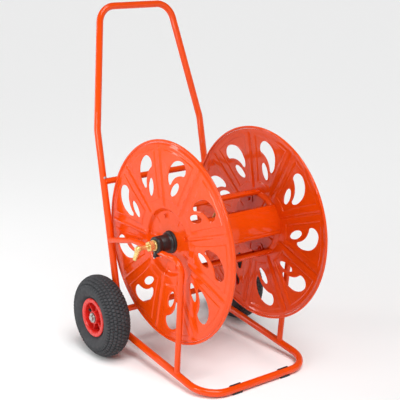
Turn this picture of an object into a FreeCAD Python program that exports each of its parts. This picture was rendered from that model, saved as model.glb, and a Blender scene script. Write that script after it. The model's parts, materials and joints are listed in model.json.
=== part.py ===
import FreeCAD, Part
import math
import os

# Garden hose reel cart. Millimetres, +Z up, X along the reel's axis, -Y at the front foot bar.
# Origin: on the floor, half-way between the wheels and half-way along the cart's depth.

# ---- frame tubes
TUBE_R = 11.0
TUBE_WALL = 1.5
FRAME_X = 203.5
FRONT_Y = -291.25
FRONT_Z = 14.0
RAIL_SLOPE = 0.13
UPRIGHT_LEAN = 0.208
UPRIGHT_Y0 = 129.15
FRONT_CORNER_R = 80.0
REAR_BEND_R = 60.0
JOINT_Z = 567.0
SPIGOT_LENGTH = 50.0
HANDLE_BEND_Z = 695.0
HANDLE_TOP_X = 134.6
HANDLE_TOP_Y = 358.75
HANDLE_TOP_Z = 1073.0
HANDLE_BEND_R = 120.0
HANDLE_CORNER_R = 60.0
CROSS_TUBE_R = 10.0
CROSSBAR_Z = 536.0
FOOT_X = 93.0
FOOT_HALF_WIDTH = 18.0
FOOT_THICKNESS = 3.0

# ---- reel
REEL_Y = -63.25
REEL_Z = 412.0
DISC_X = 176.0
DISC_R = 306.5
SHEET = 1.5
BEAD_R = 4.0
BEAD_SET_BACK = 3.5
RIM_ROUND_R = 290.0
RECESS_DEPTH = 12.0
RECESS_FLOOR_R = 92.0
RECESS_MOUTH_R = 104.0
SECTORS = 9
LEFT_PHASE = -1.0
RIGHT_PHASE = 20.0
RIB_HALF_WIDTH = 7.0
RIB_HEIGHT = 4.0
RIB_INNER_R = 107.0
RIB_OUTER_R = 288.0
PANEL_PHASE = 20.0
PANEL_HALF_ANGLE = 26.0
PANEL_R = 106.0
TAB_BOLT_R = 78.0
TAB_HOLE_R = 3.2
TAB_THICKNESS = 2.0
LIP_DEPTH = 9.0
RUNNING_GAP = 0.05

# ---- reel shaft and the water's way through it
SHAFT_R = 10.65
SHAFT_BORE_R = 7.0
SHAFT_LEFT = -232.0
SHAFT_RIGHT = 240.0
WATER_WAY_END = 18.0
OUTLET_X = -20.0
OUTLET_ANGLE = 65.0
OUTLET_REACH = 78.0
OUTLET_BORE_R = 4.6

# ---- water inlet, on the left end of the shaft
COLLAR_END = -246.0
NUT_START = -228.0
NUT_FLATS = 27.0
RING_R = 16.5
SPIGOT_R = 9.5
NECK_R = 6.2
ELBOW_X = -280.0
KNUCKLE_R = 9.0
TAIL_LEAN = 26.0
TAIL_START = 15.0
TAIL_LENGTH = 42.0
TAIL_R = 7.0
SHOULDER_R = 8.5
SEAL_R = 9.3

# ---- hub and its support tube
SUPPORT_R = 9.0
SUPPORT_X = 210.0
SUPPORT_Z = 390.0
SUPPORT_FOOT_Y = -151.25
SUPPORT_FRONT_Y = -180.25
SUPPORT_BREAK_Y = 64.75
SUPPORT_END_Y = 193.75
SUPPORT_DROP = 0.26
FLANGE_R = 34.0
FLANGE_THICKNESS = 6.5
FLANGE_SCREW_R = 26.0
FLANGE_PHASE = 45.0
FLANGE_HOLE_R = 2.7
HOUSING_R = 25.0
HOUSING_START = 172.0
HOUSING_END = 222.0
LUG_HALF_X = 14.5
LUG_HALF_Y = 7.0
CLAMP_DROP = 14.0
CLAMP_GAP = 0.5
EAR_RISE = 4.5
SCREW_OFFSET = 11.8
SCREW_R = 2.5
CLAMP_SCREW_R = 2.0

# ---- wheels
WHEEL_R = 130.0
AXLE_Y = UPRIGHT_Y0 + UPRIGHT_LEAN * WHEEL_R
WHEEL_X = 270.5
TYRE_WIDTH = 85.0
RIM_R = 61.0
AXLE_R = 8.0
AXLE_END = 311.0
PIN_HOLE_X = 307.5
SPLIT_PIN_R = 1.6
WASHER_X = 303.0
BEAD_OUTER_X = 26.0
BEAD_INNER_X = 21.5
BEAD_FOOT_R = 52.0
BEAD_TOP_R = 63.0
SIDEWALL_R = 88.0
TYRE_WALL = 6.0
AIR_RING_R = 78.0
AIR_SECTION_R = 25.0
RIM_HALF_WIDTH = 34.0
SEAT_R = 51.8
BARREL_R = 46.8
RIM_HUB_R = 21.0
BUSH_R = 16.0
OUTER_BUSH = (-33.0, -12.0)
INNER_BUSH = (19.0, 39.0)
SPOKES = 6
VALVE_ANGLE = 12.0
VALVE_X = -WHEEL_X - 17.0
VALVE_SPAN = (27.0, 52.8)
VALVE_CAP_LENGTH = 11.0

# ---- crank, on the right end of the reel shaft
CRANK_RADIUS = 128.0
CRANK_ANGLE = -90.0
ARM_X = 231.0
ARM_THICKNESS = 6.0
ARM_WIDTH = 24.0
BOSS_R = 16.5
PIN_R = 5.0
GRIP_R = 14.0
GRIP_START = 240.0
GRIP_END = 306.0

ALONG_X = FreeCAD.Vector(1, 0, 0)


def vec(x, y, z):
    return FreeCAD.Vector(x, y, z)


def cylinder(x0, x1, radius, y=REEL_Y, z=REEL_Z):
    """A solid cylinder along X from x0 to x1."""
    low = min(x0, x1)
    return Part.makeCylinder(radius, abs(x1 - x0), vec(low, y, z), ALONG_X)


def sleeve(x0, x1, outer, inner, y=REEL_Y, z=REEL_Z):
    return cylinder(x0, x1, outer, y, z).cut(cylinder(x0 - 1, x1 + 1, inner, y, z))


def rod(start, end, radius):
    """A solid cylinder between two points."""
    return Part.makeCylinder(radius, (end - start).Length, start, end - start)


def hexagon(x0, x1, across_flats, y, z):
    """A hexagonal prism along X."""
    corner = across_flats / math.sqrt(3)
    ring = [
        vec(x0, y + corner * math.cos(math.radians(60 * k)), z + corner * math.sin(math.radians(60 * k)))
        for k in range(7)
    ]
    return Part.Face(Part.makePolygon(ring)).extrude(vec(x1 - x0, 0, 0))


def rounded_path(points, radii):
    """Straight runs through the points, joined by tangent arcs of the given radii."""
    edges = []
    start = points[0]
    for before, corner, after, radius in zip(points, points[1:], points[2:], radii):
        arriving = (corner - before).normalize()
        leaving = (after - corner).normalize()
        turn = arriving.getAngle(leaving)
        reach = radius * math.tan(turn / 2)
        entry = corner - arriving * reach
        leave = corner + leaving * reach
        inward = (leaving - arriving).normalize()
        middle = corner + inward * (radius / math.cos(turn / 2) - radius)
        edges.append(Part.LineSegment(start, entry).toShape())
        edges.append(Part.Arc(entry, middle, leave).toShape())
        start = leave
    edges.append(Part.LineSegment(start, points[-1]).toShape())
    return Part.Wire(edges)


def swept_rod(points, radii, radius):
    """A round bar along a rounded path."""
    path = rounded_path(points, radii)
    direction = points[1] - points[0]
    section = Part.Wire([Part.Circle(points[0], direction, radius).toShape()])
    return path.makePipeShell([section], True, True)


def ring_of(points, y, z):
    """A solid of revolution from (x, radius) points joined by straight lines."""
    corners = [vec(x, y, z + radius) for x, radius in points]
    return Part.Face(Part.makePolygon(corners + corners[:1])).revolve(vec(0, y, z), ALONG_X, 360)


def mirrored(shape):
    return shape.mirror(vec(0, 0, 0), ALONG_X)


def polar(x, radius, degrees, y=REEL_Y, z=REEL_Z):
    """A point at an angle about the X axis: 0 towards the front, 90 up."""
    turn = math.radians(degrees)
    return vec(x, y - radius * math.cos(turn), z + radius * math.sin(turn))


def about_reel(shape, degrees):
    """The shape turned about the reel's axis, front towards top."""
    turned = shape.copy()
    turned.rotate(vec(0, REEL_Y, REEL_Z), ALONG_X, -degrees)
    return turned


def rail_z(y):
    return FRONT_Z + RAIL_SLOPE * (y - FRONT_Y)


def upright_y(z):
    return UPRIGHT_Y0 + UPRIGHT_LEAN * z


# ---- frame

def base_points(side_top):
    """Centre line of the floor loop and both uprights, from the left top to the right top."""
    heel_z = (FRONT_Z + RAIL_SLOPE * (UPRIGHT_Y0 - FRONT_Y)) / (1 - RAIL_SLOPE * UPRIGHT_LEAN)
    heel_y = upright_y(heel_z)
    left = [
        vec(-FRAME_X, upright_y(side_top), side_top),
        vec(-FRAME_X, heel_y, heel_z),
        vec(-FRAME_X, FRONT_Y, FRONT_Z),
    ]
    right = [vec(-p.x, p.y, p.z) for p in reversed(left)]
    return left + right


def base_rod(radius):
    bends = [REAR_BEND_R, FRONT_CORNER_R, FRONT_CORNER_R, REAR_BEND_R]
    return swept_rod(base_points(JOINT_Z), bends, radius)


def make_base_frame(base_solid, screws):
    """One bent tube: front bar, floor rails and uprights, drilled for the axle and the screws."""
    axle_hole = cylinder(-FRAME_X - 30, FRAME_X + 30, AXLE_R, AXLE_Y, WHEEL_R)
    return base_solid.cut(base_rod(TUBE_R - TUBE_WALL)).cut(axle_hole).cut(screws)


def make_handle(screws):
    """The upper loop, with a narrower spigot at each end that slips into an upright."""
    low = vec(-FRAME_X, upright_y(JOINT_Z), JOINT_Z)
    bend = vec(-FRAME_X, upright_y(HANDLE_BEND_Z), HANDLE_BEND_Z)
    top = vec(-HANDLE_TOP_X, HANDLE_TOP_Y, HANDLE_TOP_Z)
    left = [low, bend, top]
    points = left + [vec(-p.x, p.y, p.z) for p in reversed(left)]
    bends = [HANDLE_BEND_R, HANDLE_CORNER_R, HANDLE_CORNER_R, HANDLE_BEND_R]
    loop = swept_rod(points, bends, TUBE_R)
    bore = swept_rod(points, bends, TUBE_R - 2 * TUBE_WALL)
    down = (low - bend).normalize() * SPIGOT_LENGTH
    spigot = rod(low, low + down, TUBE_R - TUBE_WALL - 0.1)
    spigot_bore = rod(low, low + down, TUBE_R - 2 * TUBE_WALL)
    loop = loop.fuse(spigot).fuse(mirrored(spigot))
    return loop.cut(bore).cut(spigot_bore).cut(mirrored(spigot_bore)).cut(screws)


def make_handle_screws():
    """One round-headed screw through each spigot joint."""
    z = JOINT_Z - SPIGOT_LENGTH / 3
    y = upright_y(z)
    head_y = y - TUBE_R + 0.6
    shank = rod(vec(-FRAME_X, head_y, z), vec(-FRAME_X, y + TUBE_R + 2, z), 2.4)
    head = Part.makeSphere(5, vec(-FRAME_X, head_y + 2.2, z))
    front = Part.makeBox(12, 6, 12, vec(-FRAME_X - 6, head_y - 6, z - 6))
    screw = shank.fuse(head.common(front))
    return Part.makeCompound([screw, mirrored(screw)])


def make_cross_tube(z, bore, base_solid):
    """A tube between the uprights, its ends shaped to them."""
    length = FRAME_X - 2
    y = upright_y(z)
    return sleeve(-length, length, CROSS_TUBE_R, bore, y, z).cut(base_solid)


def support_points():
    end_z = SUPPORT_Z - SUPPORT_DROP * (SUPPORT_END_Y - SUPPORT_BREAK_Y)
    return [
        vec(-FRAME_X, SUPPORT_FOOT_Y, rail_z(SUPPORT_FOOT_Y)),
        vec(-SUPPORT_X, SUPPORT_FRONT_Y, SUPPORT_Z),
        vec(-SUPPORT_X, SUPPORT_BREAK_Y, SUPPORT_Z),
        vec(-SUPPORT_X, SUPPORT_END_Y, end_z),
    ]


def make_support(base_solid):
    """The bent tube that stands on a rail, carries a hub and runs back to the upright."""
    bends = [38.0, 90.0]
    outer = swept_rod(support_points(), bends, SUPPORT_R)
    inner = swept_rod(support_points(), bends, SUPPORT_R - TUBE_WALL)
    return outer.cut(inner).cut(base_solid)


def make_foot(x):
    """A rubber clip pushed on the front bar from below, open at its upper front."""
    left = x - FOOT_HALF_WIDTH
    body = cylinder(left, x + FOOT_HALF_WIDTH, TUBE_R + FOOT_THICKNESS, FRONT_Y, FRONT_Z)
    sole = Part.makeBox(2 * FOOT_HALF_WIDTH, 16, 8, vec(left, FRONT_Y - 8, 0))
    body = body.fuse(sole).cut(cylinder(x - 40, x + 40, TUBE_R, FRONT_Y, FRONT_Z))
    reach = 40.0
    start = math.radians(45)
    end = math.radians(262)
    mouth = [
        vec(x - reach, FRONT_Y, FRONT_Z),
        vec(x - reach, FRONT_Y - reach * math.cos(start), FRONT_Z - reach * math.sin(start)),
        vec(x - reach, FRONT_Y - 1.6 * reach, FRONT_Z),
        vec(x - reach, FRONT_Y - 1.6 * reach, FRONT_Z + 1.6 * reach),
        vec(x - reach, FRONT_Y - reach * math.cos(end), FRONT_Z - reach * math.sin(end)),
    ]
    opening = Part.Face(Part.makePolygon(mouth + mouth[:1])).extrude(vec(2 * reach, 0, 0))
    return body.cut(opening)


# ---- reel

def disc_profile():
    """Half section of a disc facing -X: recess, face, rounded edge and rolled bead, as one sheet."""
    outer = -DISC_X - SHEET / 2
    inner = -DISC_X + SHEET / 2
    floor_outer = outer + RECESS_DEPTH
    floor_inner = inner + RECESS_DEPTH
    neck = DISC_R - 2 * BEAD_R
    return [
        (floor_outer, SHAFT_R),
        (floor_outer, RECESS_FLOOR_R),
        (outer, RECESS_MOUTH_R),
        (outer, RIM_ROUND_R),
        (outer + BEAD_SET_BACK * 0.6, neck + 1),
        (outer + BEAD_SET_BACK + SHEET, neck + 1),
        (inner, RIM_ROUND_R),
        (inner, RECESS_MOUTH_R - 1),
        (floor_inner, RECESS_FLOOR_R - 1),
        (floor_inner, SHAFT_R),
    ]


def closed_arcs(points, x, depth):
    """A prism along X whose outline is a chain of arcs through (across, out) point triples."""
    edges = []
    for start, middle, end in points:
        corners = [vec(x, REEL_Y - out, REEL_Z + across) for across, out in (start, middle, end)]
        edges.append(Part.Arc(*corners).toShape())
    return Part.Face(Part.Wire(edges)).extrude(vec(depth, 0, 0))


def sector_holes(x, depth):
    """The comma and leaf holes of the sector that points to the front."""
    comma = [
        ((-36, 226), (-42, 246), (-21, 266)),
        ((-21, 266), (22, 245), (34, 210)),
        ((34, 210), (34.5, 196), (30, 183)),
        ((30, 183), (22, 177), (16, 184)),
        ((16, 184), (-2, 211), (-36, 226)),
    ]
    leaf = [
        ((-21, 190), (-15, 197), (-8, 195)),
        ((-8, 195), (9, 175), (14, 155)),
        ((14, 155), (9, 147), (2, 149)),
        ((2, 149), (-15, 168), (-21, 190)),
    ]
    return closed_arcs(comma, x, depth).fuse(closed_arcs(leaf, x, depth))


def make_disc(phase):
    """A disc facing -X: one pressed sheet with ribs, holes and a rolled edge."""
    disc = ring_of(disc_profile(), REEL_Y, REEL_Z)
    bead = Part.makeTorus(
        DISC_R - BEAD_R, BEAD_R, vec(-DISC_X + BEAD_SET_BACK, REEL_Y, REEL_Z), ALONG_X
    )
    disc = disc.fuse(bead)
    length = RIB_OUTER_R - RIB_INNER_R
    rib = Part.makeBox(
        RIB_HEIGHT, length, 2 * RIB_HALF_WIDTH,
        vec(-DISC_X - SHEET / 2 - RIB_HEIGHT + 0.5, REEL_Y - RIB_OUTER_R, REEL_Z - RIB_HALF_WIDTH)
    )
    front = rib.BoundBox.XMin + 0.01
    rib = rib.makeFillet(RIB_HEIGHT * 0.8, [edge for edge in rib.Edges if edge.BoundBox.XMax < front])
    pitch = 360.0 / SECTORS
    hole = sector_holes(-DISC_X - 20, 40)
    tools = [about_reel(hole, phase + pitch * k) for k in range(SECTORS)]
    ribs = [about_reel(rib, phase + pitch * (k + 0.5)) for k in range(SECTORS)]
    return disc.fuse(ribs).cut(tools)


def drilled(disc, side):
    """The disc with its holes for the drum bolts and the flange screws."""
    floor = side * (DISC_X - RECESS_DEPTH)
    drills = []
    for turn in (0, 90, 180, 270):
        for radius, first, hole_r in (
            (TAB_BOLT_R, PANEL_PHASE, TAB_HOLE_R),
            (FLANGE_SCREW_R, FLANGE_PHASE, FLANGE_HOLE_R),
        ):
            angle = first + turn
            drills.append(rod(polar(floor - 5, radius, angle), polar(floor + 5, radius, angle), hole_r))
    return disc.cut(drills)


def make_right_disc():
    """The same pressing turned round, so that its outer face looks to +X."""
    disc = make_disc(RIGHT_PHASE)
    disc.rotate(vec(0, REEL_Y, REEL_Z), vec(0, 0, 1), 180)
    return disc


def arc_panel(x0, x1, inner, outer, centre_angle, half_angle):
    """A curved strip about the reel's axis."""
    strip = sleeve(x0, x1, outer, inner)
    far = 4 * outer
    wedge = [vec(x0 - 1, REEL_Y, REEL_Z)]
    wedge += [polar(x0 - 1, far, centre_angle + half_angle * step) for step in (-1, -0.5, 0, 0.5, 1)]
    cutter = Part.Face(Part.makePolygon(wedge + wedge[:1])).extrude(vec(x1 - x0 + 2, 0, 0))
    return strip.common(cutter)


def make_panel(angle):
    """A drum strip with rolled-in long edges and a bolted tab at each end."""
    half_length = DISC_X - SHEET / 2 - 0.05
    panel = arc_panel(-half_length, half_length, PANEL_R - SHEET, PANEL_R, angle, PANEL_HALF_ANGLE)
    lip_end = half_length - 14
    lip = arc_panel(-lip_end, lip_end, PANEL_R - LIP_DEPTH, PANEL_R - SHEET / 2, angle, 0.9)
    for side in (-1, 1):
        panel = panel.fuse(about_reel(lip, side * (PANEL_HALF_ANGLE - 0.9)))
        floor = side * (DISC_X - RECESS_DEPTH - SHEET / 2)
        back = floor - side * TAB_THICKNESS
        tab = arc_panel(min(floor, back), max(floor, back), TAB_BOLT_R - 12, PANEL_R - SHEET / 2, angle, 11.0)
        hole = rod(polar(floor - 9, TAB_BOLT_R, angle), polar(floor + 9, TAB_BOLT_R, angle), TAB_HOLE_R)
        panel = panel.fuse(tab.cut(hole))
    return panel


def bolt(x_head, x_end, radius, point_y, point_z, head_flats, head_height):
    """A hexagon bolt along X with its nut, as two solids."""
    way = 1 if x_end > x_head else -1
    head = hexagon(x_head - way * head_height, x_head, head_flats, point_y, point_z)
    shank = cylinder(x_head - way * head_height, x_end, radius, point_y, point_z)
    nut_end = x_end - way * 1.5
    nut_start = nut_end - way * head_height
    nut = hexagon(nut_start, nut_end, head_flats, point_y, point_z)
    nut = nut.cut(cylinder(nut_start - way, nut_end + way, radius, point_y, point_z))
    return [head.fuse(shank), nut]


def make_drum_bolts(side):
    """The four bolts that hold the drum strips to one disc."""
    outer = side * (DISC_X - RECESS_DEPTH + SHEET / 2)
    nut_seat = side * (DISC_X - RECESS_DEPTH - SHEET / 2 - TAB_THICKNESS)
    pieces = []
    for turn in (0, 90, 180, 270):
        spot = polar(0, TAB_BOLT_R, PANEL_PHASE + turn)
        pieces += bolt(outer, nut_seat - side * 6.0, 3.0, spot.y, spot.z, 10.0, 4.4)
    return Part.makeCompound(pieces)


def make_flange(side):
    """The black plate that grips the shaft and is screwed to a disc's recess."""
    start = side * (DISC_X - RECESS_DEPTH + SHEET / 2)
    end = start + side * FLANGE_THICKNESS
    plate = sleeve(min(start, end), max(start, end), FLANGE_R, SHAFT_R)
    cutters = []
    for turn in (0, 90, 180, 270):
        angle = FLANGE_PHASE + turn
        mouth = polar(end + side, FLANGE_SCREW_R, angle)
        cutters.append(rod(polar(start - side, FLANGE_SCREW_R, angle), mouth, FLANGE_HOLE_R))
        cutters.append(rod(polar(end - side * 3.2, FLANGE_SCREW_R, angle), mouth, 5.0))
    return plate.cut(cutters)


def make_flange_screws(side):
    """Four countersunk-seat screws and their nuts behind the disc."""
    head_outer = side * (DISC_X - RECESS_DEPTH + SHEET / 2 + FLANGE_THICKNESS - 0.2)
    head_inner = head_outer - side * 3.0
    nut_outer = side * (DISC_X - RECESS_DEPTH - SHEET / 2)
    nut_inner = nut_outer - side * 4.0
    pieces = []
    for turn in (0, 90, 180, 270):
        spot = polar(0, FLANGE_SCREW_R, FLANGE_PHASE + turn)
        head = cylinder(head_outer, head_inner, 4.6, spot.y, spot.z)
        shank = cylinder(head_outer, nut_inner - side * 1.5, SCREW_R, spot.y, spot.z)
        nut = hexagon(nut_outer, nut_inner, 8.0, spot.y, spot.z)
        pieces.append(head.fuse(shank))
        pieces.append(nut.cut(cylinder(nut_outer + side, nut_inner - side, SCREW_R, spot.y, spot.z)))
    return Part.makeCompound(pieces)


def make_shaft():
    """The reel's shaft, hollow from the inlet as far as the outlet branch."""
    shaft = cylinder(SHAFT_LEFT, SHAFT_RIGHT, SHAFT_R)
    water_way = cylinder(SHAFT_LEFT - 1, WATER_WAY_END, SHAFT_BORE_R)
    branch = rod(polar(OUTLET_X, 0, OUTLET_ANGLE), polar(OUTLET_X, 2 * SHAFT_R, OUTLET_ANGLE), OUTLET_BORE_R)
    return shaft.cut(water_way).cut(branch)


def make_outlet():
    """The brass branch on the shaft that the garden hose is pushed onto."""
    def along(start, end, radius):
        return rod(polar(OUTLET_X, start, OUTLET_ANGLE), polar(OUTLET_X, end, OUTLET_ANGLE), radius)

    saddle = cylinder(OUTLET_X - 13, OUTLET_X + 13, SHAFT_R + 4)
    stem = along(SHAFT_R + 1, OUTLET_REACH, TAIL_R)
    nut = along(18, 32, 11.0)
    bore = along(0, OUTLET_REACH + 2, OUTLET_BORE_R)
    shaft_room = cylinder(OUTLET_X - 30, OUTLET_X + 30, SHAFT_R)
    return saddle.fuse(stem).fuse(nut).cut(bore).cut(shaft_room)


# ---- hub

def hub_lug(low_z, high_z, outer_x=-SUPPORT_X - LUG_HALF_X):
    """The block of the hub that wraps the support tube, between two heights."""
    length = -SUPPORT_X + LUG_HALF_X - outer_x
    return Part.makeBox(length, 2 * LUG_HALF_Y, high_z - low_z, vec(outer_x, REEL_Y - LUG_HALF_Y, low_z))


def clamp_screw_lines(low_z, high_z):
    """The two screw lines beside the support tube."""
    return [
        Part.makeCylinder(CLAMP_SCREW_R, high_z - low_z, vec(-SUPPORT_X + side * SCREW_OFFSET, REEL_Y, low_z))
        for side in (-1, 1)
    ]


def support_room():
    """The support tube's run under the hub."""
    return rod(vec(-SUPPORT_X, REEL_Y - 60, SUPPORT_Z), vec(-SUPPORT_X, REEL_Y + 60, SUPPORT_Z), SUPPORT_R)


def make_hub_housing():
    """The fixed bearing block: a barrel round the shaft and a saddle over the support tube."""
    barrel = cylinder(-HOUSING_END, -HOUSING_START, HOUSING_R)
    ears = hub_lug(SUPPORT_Z + CLAMP_GAP, SUPPORT_Z + EAR_RISE)
    saddle = hub_lug(SUPPORT_Z + CLAMP_GAP, REEL_Z, -HOUSING_END)
    body = barrel.fuse(ears).fuse(saddle)
    body = body.cut(cylinder(-260, -150, SHAFT_R + RUNNING_GAP))
    return body.cut(support_room()).cut(clamp_screw_lines(SUPPORT_Z - 10, SUPPORT_Z + EAR_RISE + 1))


def make_hub_clamp():
    """The cap below the support tube."""
    cap = hub_lug(SUPPORT_Z - CLAMP_DROP, SUPPORT_Z - CLAMP_GAP)
    cap = cap.makeFillet(2, [edge for edge in cap.Edges if edge.BoundBox.ZLength > 5])
    barrel_room = cylinder(-HOUSING_END - 10, -HOUSING_START, HOUSING_R + 0.3)
    return cap.cut(support_room()).cut(clamp_screw_lines(SUPPORT_Z - 20, SUPPORT_Z)).cut(barrel_room)


def make_clamp_screws():
    """Two screws up through the cap into the housing's ears."""
    pieces = []
    for shank in clamp_screw_lines(SUPPORT_Z - CLAMP_DROP - 1, SUPPORT_Z + EAR_RISE):
        x = shank.CenterOfMass.x
        head = Part.makeCylinder(3.6, 4, vec(x, REEL_Y, SUPPORT_Z - CLAMP_DROP - 4))
        pieces.append(shank.fuse(head))
    return Part.makeCompound(pieces)


# ---- water inlet

def make_collar():
    """The brass union nut on the hub's end, which holds the elbow and lets it turn."""
    ring = cylinder(NUT_START, -HOUSING_END, RING_R)
    nut = hexagon(COLLAR_END, NUT_START, NUT_FLATS, REEL_Y, REEL_Z)
    shaft_room = cylinder(SHAFT_LEFT - 3.5, 1 - HOUSING_END, SHAFT_R + 0.1)
    neck_room = cylinder(COLLAR_END - 1, SHAFT_LEFT, NECK_R + RUNNING_GAP)
    spigot_room = cylinder(COLLAR_END + 3, SHAFT_LEFT, SPIGOT_R + RUNNING_GAP)
    return ring.fuse(nut).cut(shaft_room).cut(neck_room).cut(spigot_room)


def tail_point(distance):
    lean = math.radians(TAIL_LEAN)
    return vec(ELBOW_X, REEL_Y + distance * math.sin(lean), REEL_Z - distance * math.cos(lean))


def make_elbow():
    """The brass elbow: a collar that turns in the union nut, a neck, and the tail for the supply hose."""
    spigot_end = SHAFT_LEFT - 4
    spigot = cylinder(COLLAR_END + 3.2, spigot_end, SPIGOT_R)
    neck = cylinder(ELBOW_X, spigot_end, NECK_R)
    knuckle = Part.makeSphere(KNUCKLE_R, vec(ELBOW_X, REEL_Y, REEL_Z))
    stem = rod(tail_point(0), tail_point(TAIL_START), TAIL_R - 0.5)
    shoulder = rod(tail_point(KNUCKLE_R - 1), tail_point(TAIL_START), SHOULDER_R)
    tail = rod(tail_point(TAIL_START), tail_point(TAIL_LENGTH), TAIL_R)
    bore = cylinder(ELBOW_X, SHAFT_LEFT, 4.2).fuse(rod(tail_point(0), tail_point(TAIL_LENGTH + 5), 4.4))
    return spigot.fuse([neck, knuckle, stem, shoulder, tail]).cut(bore)


def make_seal():
    """The rubber washer between the shaft's end and the elbow."""
    return sleeve(SHAFT_LEFT - 3.8, SHAFT_LEFT - 0.2, SEAL_R, 5.0)


# ---- crank

def crank_point(x, radius=CRANK_RADIUS):
    turn = math.radians(CRANK_ANGLE)
    return vec(x, REEL_Y + radius * math.cos(turn), REEL_Z + radius * math.sin(turn))


def make_crank_arm():
    """A flat steel arm clamped on the shaft, with the grip's pin at its outer end."""
    bar = Part.makeBox(ARM_THICKNESS, CRANK_RADIUS, ARM_WIDTH, vec(ARM_X, REEL_Y, REEL_Z - ARM_WIDTH / 2))
    bar.rotate(vec(0, REEL_Y, REEL_Z), ALONG_X, CRANK_ANGLE)
    boss = cylinder(ARM_X - 1.5, ARM_X + ARM_THICKNESS + 2, BOSS_R)
    end = crank_point(ARM_X)
    arm = bar.fuse(boss).fuse(cylinder(ARM_X, ARM_X + ARM_THICKNESS, ARM_WIDTH / 2, end.y, end.z))
    pin = cylinder(ARM_X + 1, GRIP_END + 1.5, PIN_R, end.y, end.z)
    return arm.fuse(pin).cut(cylinder(ARM_X - 5, ARM_X + 20, SHAFT_R))


def make_crank_nut():
    """The bolt head and washer that hold the arm on the shaft's end."""
    washer_end = SHAFT_RIGHT + 2
    head = hexagon(washer_end, washer_end + 6.5, 17.0, REEL_Y, REEL_Z)
    return cylinder(SHAFT_RIGHT, washer_end, 15.0).fuse(head)


def make_grip():
    """The free-turning plastic grip, waisted towards the arm."""
    end = crank_point(0)
    outline = [
        (GRIP_START, GRIP_R - 2),
        (GRIP_START + 4, GRIP_R),
        (GRIP_START + 30, GRIP_R - 2.2),
        (GRIP_END - 12, GRIP_R),
        (GRIP_END - 2, GRIP_R - 2.5),
        (GRIP_END, GRIP_R - 6),
        (GRIP_END, PIN_R + RUNNING_GAP),
        (GRIP_START, PIN_R + RUNNING_GAP),
    ]
    return ring_of(outline, end.y, end.z)


def make_grip_washer():
    """The push-on cap that keeps the grip on its pin."""
    end = crank_point(0)
    return sleeve(GRIP_END + 0.3, GRIP_END + 2.3, 8.0, PIN_R, end.y, end.z)


# ---- wheels

def make_tyre():
    """A pneumatic tyre, left wheel: a carcass open towards the rim."""
    def at(x, radius):
        return vec(-WHEEL_X + x, AXLE_Y, WHEEL_R + radius)

    half = TYRE_WIDTH / 2
    inner_half = half - TYRE_WALL
    crown = WHEEL_R - TYRE_WALL - 3
    inner_top = BEAD_TOP_R + 2
    outline = [
        Part.LineSegment(at(-BEAD_OUTER_X, BEAD_FOOT_R), at(-BEAD_OUTER_X, BEAD_TOP_R)).toShape(),
        Part.Arc(at(-BEAD_OUTER_X, BEAD_TOP_R), at(-half + 5, 71), at(-half, SIDEWALL_R)).toShape(),
        Part.Arc(at(-half, SIDEWALL_R), at(0, WHEEL_R), at(half, SIDEWALL_R)).toShape(),
        Part.Arc(at(half, SIDEWALL_R), at(half - 5, 71), at(BEAD_OUTER_X, BEAD_TOP_R)).toShape(),
        Part.LineSegment(at(BEAD_OUTER_X, BEAD_TOP_R), at(BEAD_OUTER_X, BEAD_FOOT_R)).toShape(),
        Part.LineSegment(at(BEAD_OUTER_X, BEAD_FOOT_R), at(BEAD_INNER_X, BEAD_FOOT_R)).toShape(),
        Part.LineSegment(at(BEAD_INNER_X, BEAD_FOOT_R), at(BEAD_INNER_X, inner_top)).toShape(),
        Part.Arc(at(BEAD_INNER_X, inner_top), at(inner_half - 4, 74), at(inner_half, SIDEWALL_R)).toShape(),
        Part.Arc(at(inner_half, SIDEWALL_R), at(0, crown), at(-inner_half, SIDEWALL_R)).toShape(),
        Part.Arc(at(-inner_half, SIDEWALL_R), at(4 - inner_half, 74), at(-BEAD_INNER_X, inner_top)).toShape(),
        Part.LineSegment(at(-BEAD_INNER_X, inner_top), at(-BEAD_INNER_X, BEAD_FOOT_R)).toShape(),
        Part.LineSegment(at(-BEAD_INNER_X, BEAD_FOOT_R), at(-BEAD_OUTER_X, BEAD_FOOT_R)).toShape(),
    ]
    return Part.Face(Part.Wire(outline)).revolve(vec(0, AXLE_Y, WHEEL_R), ALONG_X, 360)


def make_inner_tube():
    """The air tube, resting on the rim inside the tyre."""
    centre = vec(-WHEEL_X, AXLE_Y, WHEEL_R)
    ring = Part.makeTorus(AIR_RING_R, AIR_SECTION_R, centre, ALONG_X)
    return ring.cut(Part.makeTorus(AIR_RING_R, AIR_SECTION_R - 2, centre, ALONG_X))


def about_axle(shape, degrees):
    """The shape turned about the axle, rear towards top."""
    turned = shape.copy()
    turned.rotate(vec(0, AXLE_Y, WHEEL_R), ALONG_X, degrees)
    return turned


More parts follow.
